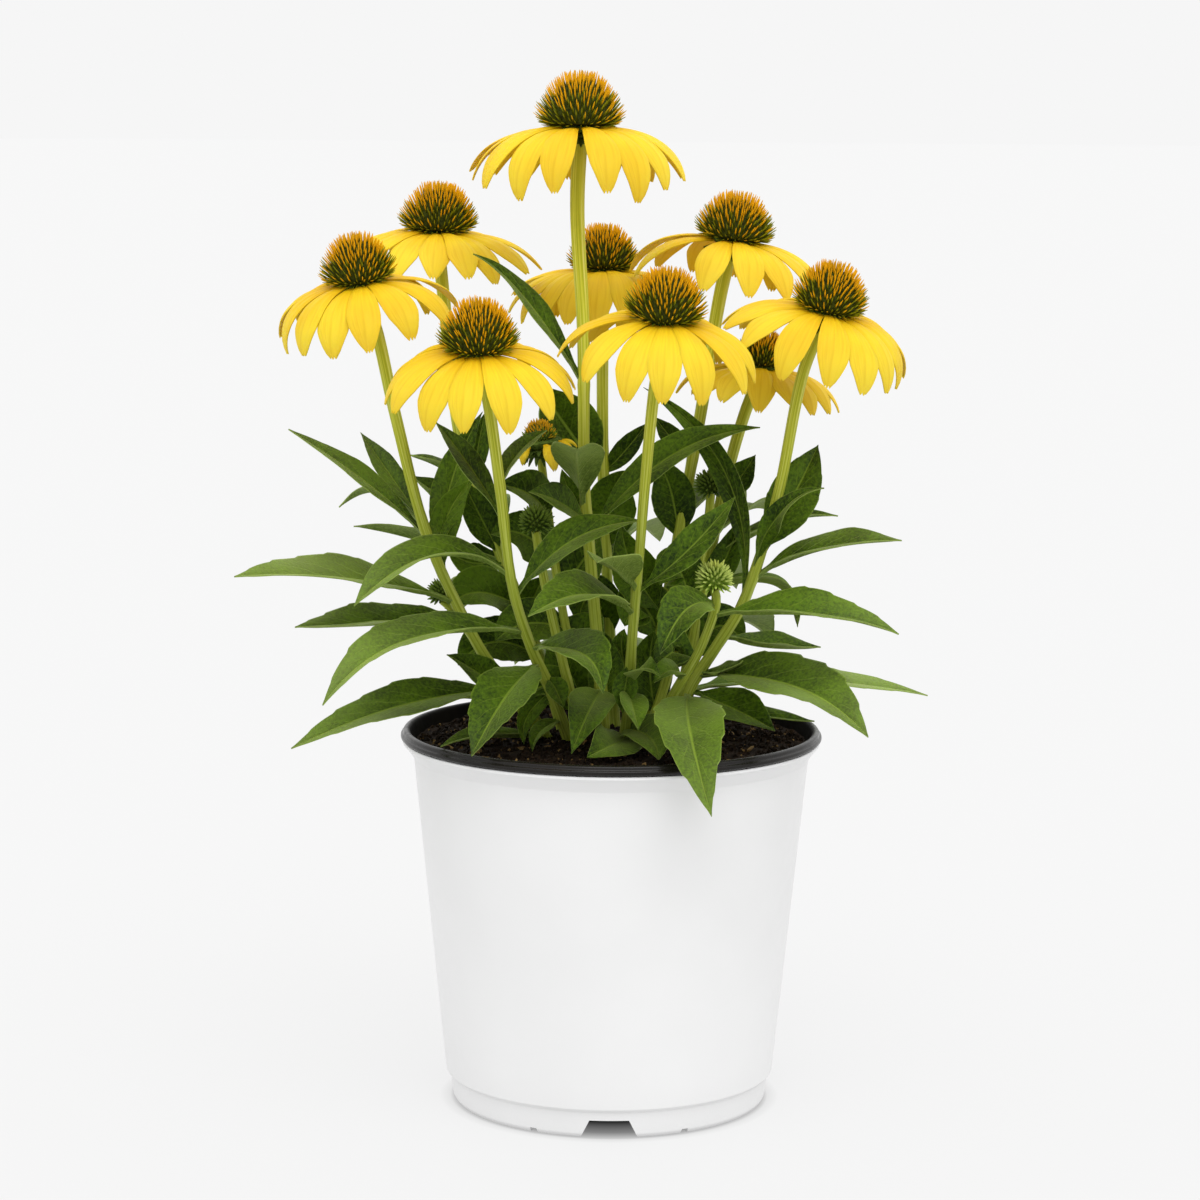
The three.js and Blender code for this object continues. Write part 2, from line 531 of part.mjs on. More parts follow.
// A stem as a tapering rod of a few sides; a wider one cuts its hole in the mix
function limb(stem, extra = 0) {
  const curve = stemCurve(stem);
  const frames = curve.computeFrenetFrames(STEM_STEPS, false);
  const [low, middle, high] = stem.girth;
  const rings = [];
  for (let step = 0; step <= STEM_STEPS; step += 1) {
    const share = step / STEM_STEPS;
    const lower = low + (middle - low) * share * 2;
    const upper = middle + (high - middle) * (share * 2 - 1);
    const radius = (share < 0.5 ? lower : upper) + extra;
    const centre = curve.getPointAt(share);
    if (extra && step === 0) {
      centre.addScaledVector(frames.tangents[0], -extra);
    }
    const ring = [];
    for (let side = 0; side < STEM_SIDES; side += 1) {
      const angle = (side * 2 * Math.PI) / STEM_SIDES;
      ring.push(centre.clone()
        .addScaledVector(frames.normals[step], radius * Math.cos(angle))
        .addScaledVector(frames.binormals[step], radius * Math.sin(angle)));
    }
    rings.push(ring);
  }
  return loft(rings);
}

// The point on a stem's line at a given height
function pointAtHeight(curve, height) {
  const steps = 400;
  let best = curve.getPointAt(0);
  for (let step = 1; step <= steps; step += 1) {
    const point = curve.getPointAt(step / steps);
    if (Math.abs(point.z - height) < Math.abs(best.z - height)) {
      best = point;
    }
  }
  return best;
}

// One leaf: a blade folded along its midrib on a short stalk, in an arc through its middle point
function leaf(curve, [height, middle, tip, width, facing, cut]) {
  const root = pointAtHeight(curve, height);
  const end = vector(tip);
  const bend = vector(middle).multiplyScalar(2).addScaledVector(root, -0.5).addScaledVector(end, -0.5);
  const arc = new THREE.QuadraticBezierCurve3(root, bend, end);
  const face = vector(facing);
  const rings = LEAF_OUTLINES[cut].map(([share, spread]) => {
    const spine = arc.getPointAt(share);
    const along = arc.getTangentAt(share);
    const across = face.clone().cross(along).normalize();
    const up = along.clone().cross(across).normalize();
    const half = Math.max(STALK_WIDTH / 2, (spread * width) / 2) * (share === 1 ? 0.3 : 1);
    const fold = degrees(LEAF_FOLD) * Math.min(1, spread * 2 + 0.3);
    const offset = (sideways, thick) => spine.clone()
      .addScaledVector(across, sideways * half * Math.cos(fold))
      .addScaledVector(up, (Math.abs(sideways) - 0.5) * half * Math.sin(fold) + thick * LEAF_THICKNESS * 0.5);
    return [offset(1, 1), offset(0, 1), offset(-1, 1), offset(-1, -1), offset(0, -1), offset(1, -1)];
  });
  return solidOf(loft(rings));
}

// A dome or ball of rings and sectors on which each facet is raised to a point, as bristles are
function bristled(radius, height, bristle, sectors, rows, closedBall) {
  const lowest = closedBall ? -Math.PI / 2 : 0;
  const positions = [];
  const index = [];
  const place = (row, sector) => {
    const tilt = lowest + ((Math.PI / 2 - lowest) * row) / rows;
    const angle = ((sector + (row % 2) / 2) * 2 * Math.PI) / sectors;
    return new THREE.Vector3(
      radius * Math.cos(tilt) * Math.cos(angle),
      radius * Math.cos(tilt) * Math.sin(angle),
      height * Math.sin(tilt),
    );
  };
  const push = (point) => {
    positions.push(point.x, point.y, point.z);
    return positions.length / 3 - 1;
  };
  const grid = [];
  const firstRow = closedBall ? 1 : 0;
  for (let row = firstRow; row < rows; row += 1) {
    grid.push(Array.from({ length: sectors }, (unused, sector) => push(place(row, sector))));
  }
  const crown = push(new THREE.Vector3(0, 0, height));
  const base = push(new THREE.Vector3(0, 0, closedBall ? -height : 0));
  const at = (level, sector) => grid[level][((sector % sectors) + sectors) % sectors];
  const corner = (number) => new THREE.Vector3().fromArray(positions, number * 3);
  const spike = (corners) => {
    const middle = corners.map(corner).reduce((sum, point) => sum.add(point), new THREE.Vector3());
    middle.divideScalar(corners.length);
    const outward = new THREE.Vector3(middle.x, middle.y, middle.z + radius * 0.1).normalize();
    const apex = push(middle.addScaledVector(outward, bristle));
    corners.forEach((number, side) => index.push(number, corners[(side + 1) % corners.length], apex));
  };
  // Each diamond joins a row to the rows above and below, so that the bristles stand staggered
  const levels = grid.length;
  for (let level = 0; level < levels; level += 1) {
    const shift = (level + firstRow) % 2;
    for (let sector = 0; sector < sectors; sector += 1) {
      const next = at(level, sector + 1);
      const over = level + 1 < levels ? at(level + 1, sector + shift) : crown;
      if (level === 0) {
        spike([at(0, sector), next, over]);
        index.push(next, at(0, sector), base);
      } else {
        const under = at(level - 1, sector + shift);
        spike([at(level, sector), under, next, over]);
      }
    }
  }
  const geometry = new THREE.BufferGeometry();
  geometry.setAttribute('position', new THREE.BufferAttribute(new Float32Array(positions), 3));
  geometry.setIndex(index);
  return geometry;
}

// The turn and move that put a shape made on the Z axis at a head's place, looking its way
function headPlacement(at, axis) {
  const turn = new THREE.Quaternion().setFromUnitVectors(UP, vector(axis).normalize());
  return new THREE.Matrix4().compose(vector(at), turn, new THREE.Vector3(1, 1, 1));
}

// The four corners of a ray at each step of its way out, from a side of the collar to the tip
function rayRings(angle, length, tipDroop, room) {
  const rings = [];
  let reach = COLLAR_RADIUS;
  let height = -COLLAR_THICKNESS / 2;
  let last = 0;
  RAY_OUTLINE.forEach(([share, spread]) => {
    const droop = degrees(tipDroop * share ** RAY_CURL);
    const midway = degrees(tipDroop * ((share + last) * 0.5) ** RAY_CURL);
    reach += (share - last) * length * Math.cos(midway);
    height -= (share - last) * length * Math.sin(midway);
    last = share;
    const width = RAY_WIDTH * Math.min(1, length / SMALL_RAY_LENGTH);
    const half = room.map((way) => Math.min((spread * width) / 2, reach * Math.tan(way) - RAY_THICKNESS / 2));
    const thick = RAY_THICKNESS / 2;
    const point = (sideways, level) => new THREE.Vector3(
      reach + level * thick * Math.sin(droop),
      sideways * half[sideways > 0 ? 0 : 1],
      height + level * thick * Math.cos(droop),
    ).applyAxisAngle(UP, angle);
    rings.push([point(1, 1), point(-1, 1), point(-1, -1), point(1, -1)]);
  });
  return rings;
}

// The rays of one bloom: a many-sided collar under the cone, with a ray grown out of each side.
// Where two rays stand close, each is narrowed so that they pass side by side.
function rays({ at, axis, rays: table }) {
  const ordered = [...table].sort((one, other) => one[0] - other[0]);
  const count = ordered.length;
  const positions = [];
  const index = [];
  const push = (point) => {
    positions.push(point.x, point.y, point.z);
    return positions.length / 3 - 1;
  };
  const gapAfter = (number) => {
    const next = ordered[(number + 1) % count][0];
    return (next - ordered[number][0] + 360) % 360;
  };
  const rim = (level) => ordered.map(([way], number) => {
    const corner = degrees(way - gapAfter((number + count - 1) % count) / 2);
    return push(new THREE.Vector3(COLLAR_RADIUS * Math.cos(corner), COLLAR_RADIUS * Math.sin(corner), level));
  });
  const top = rim(0);
  const bottom = rim(-COLLAR_THICKNESS);
  for (let side = 1; side < count - 1; side += 1) {
    index.push(top[0], top[side], top[side + 1]);
    index.push(bottom[0], bottom[side + 1], bottom[side]);
  }
  ordered.forEach(([way, length, droop], number) => {
    const after = (number + 1) % count;
    const room = [gapAfter(number), gapAfter((number + count - 1) % count)].map((gap) => degrees(gap / 2));
    const rings = rayRings(degrees(way), length, droop, room).slice(1).map((ring) => ring.map(push));
    rings.unshift([top[after], top[number], bottom[number], bottom[after]]);
    for (let ring = 0; ring < rings.length - 1; ring += 1) {
      for (let edge = 0; edge < 4; edge += 1) {
        const next = (edge + 1) % 4;
        index.push(rings[ring][edge], rings[ring][next], rings[ring + 1][next]);
        index.push(rings[ring][edge], rings[ring + 1][next], rings[ring + 1][edge]);
      }
    }
    const end = rings[rings.length - 1];
    index.push(end[0], end[1], end[2], end[0], end[2], end[3]);
  });
  const geometry = new THREE.BufferGeometry();
  geometry.setAttribute('position', new THREE.BufferAttribute(new Float32Array(positions), 3));
  geometry.setIndex(index);
  geometry.applyMatrix4(headPlacement(at, axis));
  return geometryOf(solidOf(geometry));
}

// A bristly cone, standing a clearance above its bloom's collar
function cone({ at, axis, cone: [radius, height] }, sectors) {
  const core = radius - BRISTLE * BRISTLE_SINK;
  const geometry = bristled(core, height - BRISTLE, BRISTLE, sectors, CONE_RINGS, false);
  geometry.translate(0, 0, CLEARANCE);
  geometry.applyMatrix4(headPlacement(at, axis));
  return geometryOf(solidOf(geometry));
}

// The green cup under a bloom, which widens from the stem up to the rays
function cup({ at, axis }) {
  const body = new THREE.CylinderGeometry(CUP_TOP, CUP_BOTTOM, CUP_DEPTH, CUP_SIDES);
  body.rotateX(Math.PI / 2);
  body.translate(0, 0, -COLLAR_THICKNESS - CLEARANCE - CUP_DEPTH / 2);
  body.applyMatrix4(headPlacement(at, axis));
  return solidOf(body);
}

// A closed bud: a bristly ball on the stem's end
function bud(stem) {
  const { radius, bristle } = stem.bud;
  const core = radius - bristle * 0.5;
  const ball = bristled(core, core, bristle, BUD_SECTORS, BUD_RINGS, true);
  const top = vector(stem.path[stem.path.length - 1]);
  ball.translate(top.x, top.y, top.z + radius * 0.6);
  return solidOf(ball);
}

// A stem with its leaves and what stands on its end, fused into one solid
function leafyStem(stem, head) {
  const curve = stemCurve(stem);
  const pieces = [solidOf(limb(stem)), head];
  for (const blade of stem.leaves) {
    pieces.push(leaf(curve, blade));
  }
  return geometryOf(joined(pieces));
}

const potted = new THREE.Group();

function add(name, geometry, look) {
  const mesh = new THREE.Mesh(geometry, new THREE.MeshStandardMaterial(look));
  mesh.name = name;
  potted.add(mesh);
}

add('pot_wall', potWall(), WHITE_PLASTIC);
add('pot_liner', potLiner(), BLACK_PLASTIC);
add('potting_mix', pottingMix([...Object.values(PLANT), ...Object.values(SHOOTS)]), PEAT);

for (const [name, bloom] of Object.entries(BLOOMS)) {
  add(`${name}_leafy_stem`, leafyStem(PLANT[name], cup(bloom)), LEAF_GREEN);
  add(`${name}_rays`, rays(bloom), YELLOW_RAY);
  add(`${name}_cone`, cone(bloom, CONE_SECTORS), CONE_BROWN);
}

add('young_bloom_leafy_stem', leafyStem(PLANT.young_bloom, cup(YOUNG_BLOOM)), LEAF_GREEN);
add('young_bloom_rays', rays(YOUNG_BLOOM), YELLOW_RAY);
add('young_bloom_cone', cone(YOUNG_BLOOM, BUD_SECTORS), YOUNG_CONE);

for (const [name, shoot] of Object.entries(SHOOTS)) {
  add(name, leafyStem(shoot, bud(shoot)), LEAF_GREEN);
}

export default potted;
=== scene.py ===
# A yellow coneflower in full bloom, growing in a white nursery pot with a charcoal rim.
# Lengths are millimetres, +Z up, the front towards -Y, the origin at the centre of the pot's foot.

import math
import random

import bmesh
import bpy
import numpy as np
from mathutils import Euler, Matrix, Vector, noise

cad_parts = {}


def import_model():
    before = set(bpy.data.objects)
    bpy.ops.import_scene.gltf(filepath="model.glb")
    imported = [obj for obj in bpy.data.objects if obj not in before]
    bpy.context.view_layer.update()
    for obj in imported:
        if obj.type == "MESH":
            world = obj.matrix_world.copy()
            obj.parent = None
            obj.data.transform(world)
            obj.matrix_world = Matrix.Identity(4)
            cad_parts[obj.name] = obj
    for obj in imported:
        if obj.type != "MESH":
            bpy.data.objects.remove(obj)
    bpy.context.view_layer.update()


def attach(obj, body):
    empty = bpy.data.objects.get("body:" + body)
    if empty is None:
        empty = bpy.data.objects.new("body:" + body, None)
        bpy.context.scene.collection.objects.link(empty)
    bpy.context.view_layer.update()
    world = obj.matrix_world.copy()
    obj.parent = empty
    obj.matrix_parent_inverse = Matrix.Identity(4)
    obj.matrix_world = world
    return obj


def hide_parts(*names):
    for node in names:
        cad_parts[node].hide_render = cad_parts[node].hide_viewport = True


MM = 0.001
WELD = 0.000002
SHARP = math.radians(50)
GOLDEN_ANGLE = math.radians(137.5)

# The pot: a white outer skin and a charcoal inner skin, each one closed turned profile
POT_SIDES = 192
SKIN = 1.2
CLEARANCE = 0.3
FOOT_OUTSIDE = [[72.4, 0], [73.5, 1.8], [74.9, 12.2], [75.7, 12.8]]
FOOT_INSIDE = 70.4
WALL_OUTSIDE = [[76.9, 13.9], [78.1, 26], [92, 163]]
FLOOR_HEIGHT = 9.2
FLOOR_RADIUS = 73.4
LINER_NECK = 93.4
FLANGE = [[96, 168.6], [97.2, 169.4], [97, 170.8]]
FLANGE_NECK = 93.8
RIM_SECTION = [[96.8, 171.1], [98.1, 171.8], [98, 173.3], [97.1, 173.9], [96.8, 175.2], [95.8, 175.8],
               [94.6, 175.7], [93.7, 174.9], [92.3, 171]]
MATT_INSIDE = [93, 96]
EDGE_ROUND = 0.5
ROUND_STEPS = 4
NOTCH_ANGLES = [0, 120, 240]
BIG_NOTCH = {"top": 18, "bottom": 27, "height": 8.4}
SMALL_NOTCH = {"top": 3.2, "bottom": 4.4, "height": 2.2}
SMALL_NOTCH_OFFSET = 28
NOTCH_REACH = 12
DRAIN_ANGLES = [45, 135, 225, 315]
DRAIN_RADIUS = 5
DRAIN_CIRCLE = 52
DRAIN_SIDES = 32
DRAIN_BELOW = 4
DRAIN_ABOVE = 8
CUT_SHARP = math.radians(28)

# The potting mix and the crumbs and bits of bark on it
MIX_SEED = 11
MIX_HEIGHT = 169.5
MIX_RADIUS = 91.2
MIX_SHOULDER = [88.9, 163]
MIX_FLOOR = 12.2
MIX_FLOOR_RADIUS = 71
MIX_MOUND = 2
MIX_LUMP = 1.32
MIX_LUMP_SPREAD = 9
FINE_LUMP_SPREAD = 3.15
MIX_RINGS = 40
MIX_SECTORS = 160
CRUMBS = 3200
CRUMB_SIZES = [0.5, 2.4]
BARK_BITS = 150
BARK_LENGTHS = [2, 6]
PALE_BITS = 260
PALE_SIZES = [0.6, 1.8]
BARE_BRIM = 2.5
BIT_WARP = [0.62, 1.1]
FLAT_BIT = 0.6

# Stems and leaves
ROOT_DEPTH = 13
STEM_STEP = 4
STEM_COLUMNS = 24
STEM_RIBS = 8
# Heights over which a stem turns from its darker low green, partly painted shade, to its yellower upper green
STEM_TONE_AND_SHADE = [235, 390]
RIB_DEPTH = 0.03
NODE_SWELLING = 0.07
NODE_REACH = 3
LEAF_ROWS = 46
LEAF_COLUMNS = [-1, -0.86, -0.66, -0.46, -0.28, -0.14, -0.05, 0.05, 0.14, 0.28, 0.46, 0.66, 0.86, 1]
LEAF_THICKNESS = 0.45
LEAF_FOLD = [18, 32]
LEAF_RIPPLE = 0.035
RIPPLE_WAVES = [9, 14]
SIDE_VEINS = 8
VEIN_LEAN = 2.1
# Painted sheen: how far a leaf's colour is lightened where it is seen edge-on
PAINTED_EDGE_SHEEN = 0.3
# Painted light on the outer leaves: the distances from the pot's axis over which a leaf's colour is
# lightened, and the most it is lightened
OUTER_LEAVES = [85, 165]
OUTER_PAINTED_LIGHT = 0.3
STALK_WIDTH = 2.6
STALK_END = 0.12
STALK_DEPTH = 1.7
MIDRIB_WIDTH = 1.2
MIDRIB_GROOVE = 0.35
GROOVE_WIDTH = 0.9
BLADE_START = {"plain": 0.12, "cut": 0.12, "sessile": 0}
BLADE_SHAPE = {"plain": (1.0, 1.25), "cut": (0.78, 1.15), "sessile": (0.9, 1.0)}
TOOTH_DEPTH = {"plain": 0.035, "cut": 0.085, "sessile": 0.03}
TEETH = {"plain": 5, "cut": 6.5, "sessile": 5}

# Rays, the yellow petals of a bloom
RAY_ROWS = 20
RAY_COLUMNS = 13
RAY_THICKNESS = 0.45
RAY_WIDTH = 15.2
RAY_CURL = 1.45
RAY_SPREAD = [[0, 0.34], [0.12, 0.48], [0.3, 0.76], [0.48, 0.95], [0.62, 1], [0.75, 0.93], [0.87, 0.67],
              [0.95, 0.4], [1, 0.18]]
RAY_CROWN = 1.3
RAY_RIDGE = 0.16
RAY_LINES = 9
RAY_TWIST = 10
RAY_LAP = 0.45
RAY_OVERLAP = 1.1
TIP_TEETH = 1.7
TIP_LOBES = [0.8, 1.2]
TIP_START = 0.82
COLLAR_RADIUS = 10
COLLAR_THICKNESS = 2.4
SMALL_RAY_LENGTH = 38
CUP_SIDES = 32
CUP_PROFILE = [[0, -9], [3.2, -9], [3.9, -7.4], [6.2, -4.8], [8.2, -3.2], [9.4, -2.4], [0, -2.4]]
BRACTS = 15
BRACT_LENGTH = 9
BRACT_WIDTH = 3.2
BRACT_ROWS = 9
BRACT_COLUMNS = 5
BRACT_ROOT = [5.6, -3.4]
BRACT_DROOP = 10
BRACT_CURL = [15, 40]
WHORLS = 2
WHORL_STEP = [1, 1.5]
WHORL_DROOP = 30

# Cones, the bristly heads in the middle of the blooms, and the closed buds
CONE_OUTLINE = [[-0.1, 0.68], [-0.02, 0.86], [0.1, 0.98], [0.24, 1.02], [0.38, 0.97], [0.54, 0.86],
                [0.7, 0.73], [0.83, 0.6], [0.92, 0.48], [0.975, 0.36], [0.995, 0.22], [0.98, 0]]
CONE_STEPS = 300
CONE_SIDES = 36
LARGEST_CONE = 20.5
CORE_RINGS = 18
CORE_DEPTH = 0.74
BRISTLES = 460
YOUNG_BRISTLES = 230
BUD_BRISTLES = 110
# The one bud shoot that takes the lighter bud paints; the other buds take darker copies, as painted shade
# deep among the leaves
LIT_BUD_SHOOT = "right_front_bud_shoot"
BRISTLE_LENGTHS = [10.5, 6.5]
GREEN_TIP_SHARE = 0.9
GREEN_TIP_REACH = 0.55
BRISTLE_ELEVATIONS = [2, 90]
BRISTLE_RISE = 0.72
BRISTLE_RADIUS = 0.36
BRISTLE_SWAY = 0.06
TIP_SCATTER = 1.3
BRISTLE_PROFILE = [[0, 1], [0.4, 1.05], [0.72, 0.85], [0.92, 0.5], [1, 0.14]]
BRISTLE_BEND = 0.1
CROWN_CROWDING = 3
BUD_RINGS = 14
BUD_SIDES = 24
BUD_FOOT = 1.75
BUD_BRISTLE_RADIUS = 0.62
BUD_BRISTLE_SINK = 0.6
BUD_BRISTLE_STRETCH = 1.9

# The camera and the light
LENS = 102
SENSOR = 36
CAMERA_PLACE = [-5.6, -1562.5, 458]
CAMERA_PITCH = 8.1
CAMERA_ROLL = 0.35
FLOOR_RINGS = [0, 300, 1500, 60000]
FLOOR_DROP = 0.2
FLOOR_GLOW = 0.735
FLOOR_SHADE = 0.12
# Painted contact shadow on the floor: the share of its glow and colour kept at each distance from the pot's
# axis
PAINTED_FLOOR_SHADOW = [[46, 0], [64, 0.3], [73, 0.68], [75, 0.9], [80, 1]]
HORIZON_LIGHT = 0.922
OVERHEAD_LIGHT = 1.6
LIGHT_CLIMB = [0.12, 1]
KEY_STRENGTH = 1.15
KEY_SOFTNESS = 45
KEY_WAY = [-0.1, 0.6, -1]

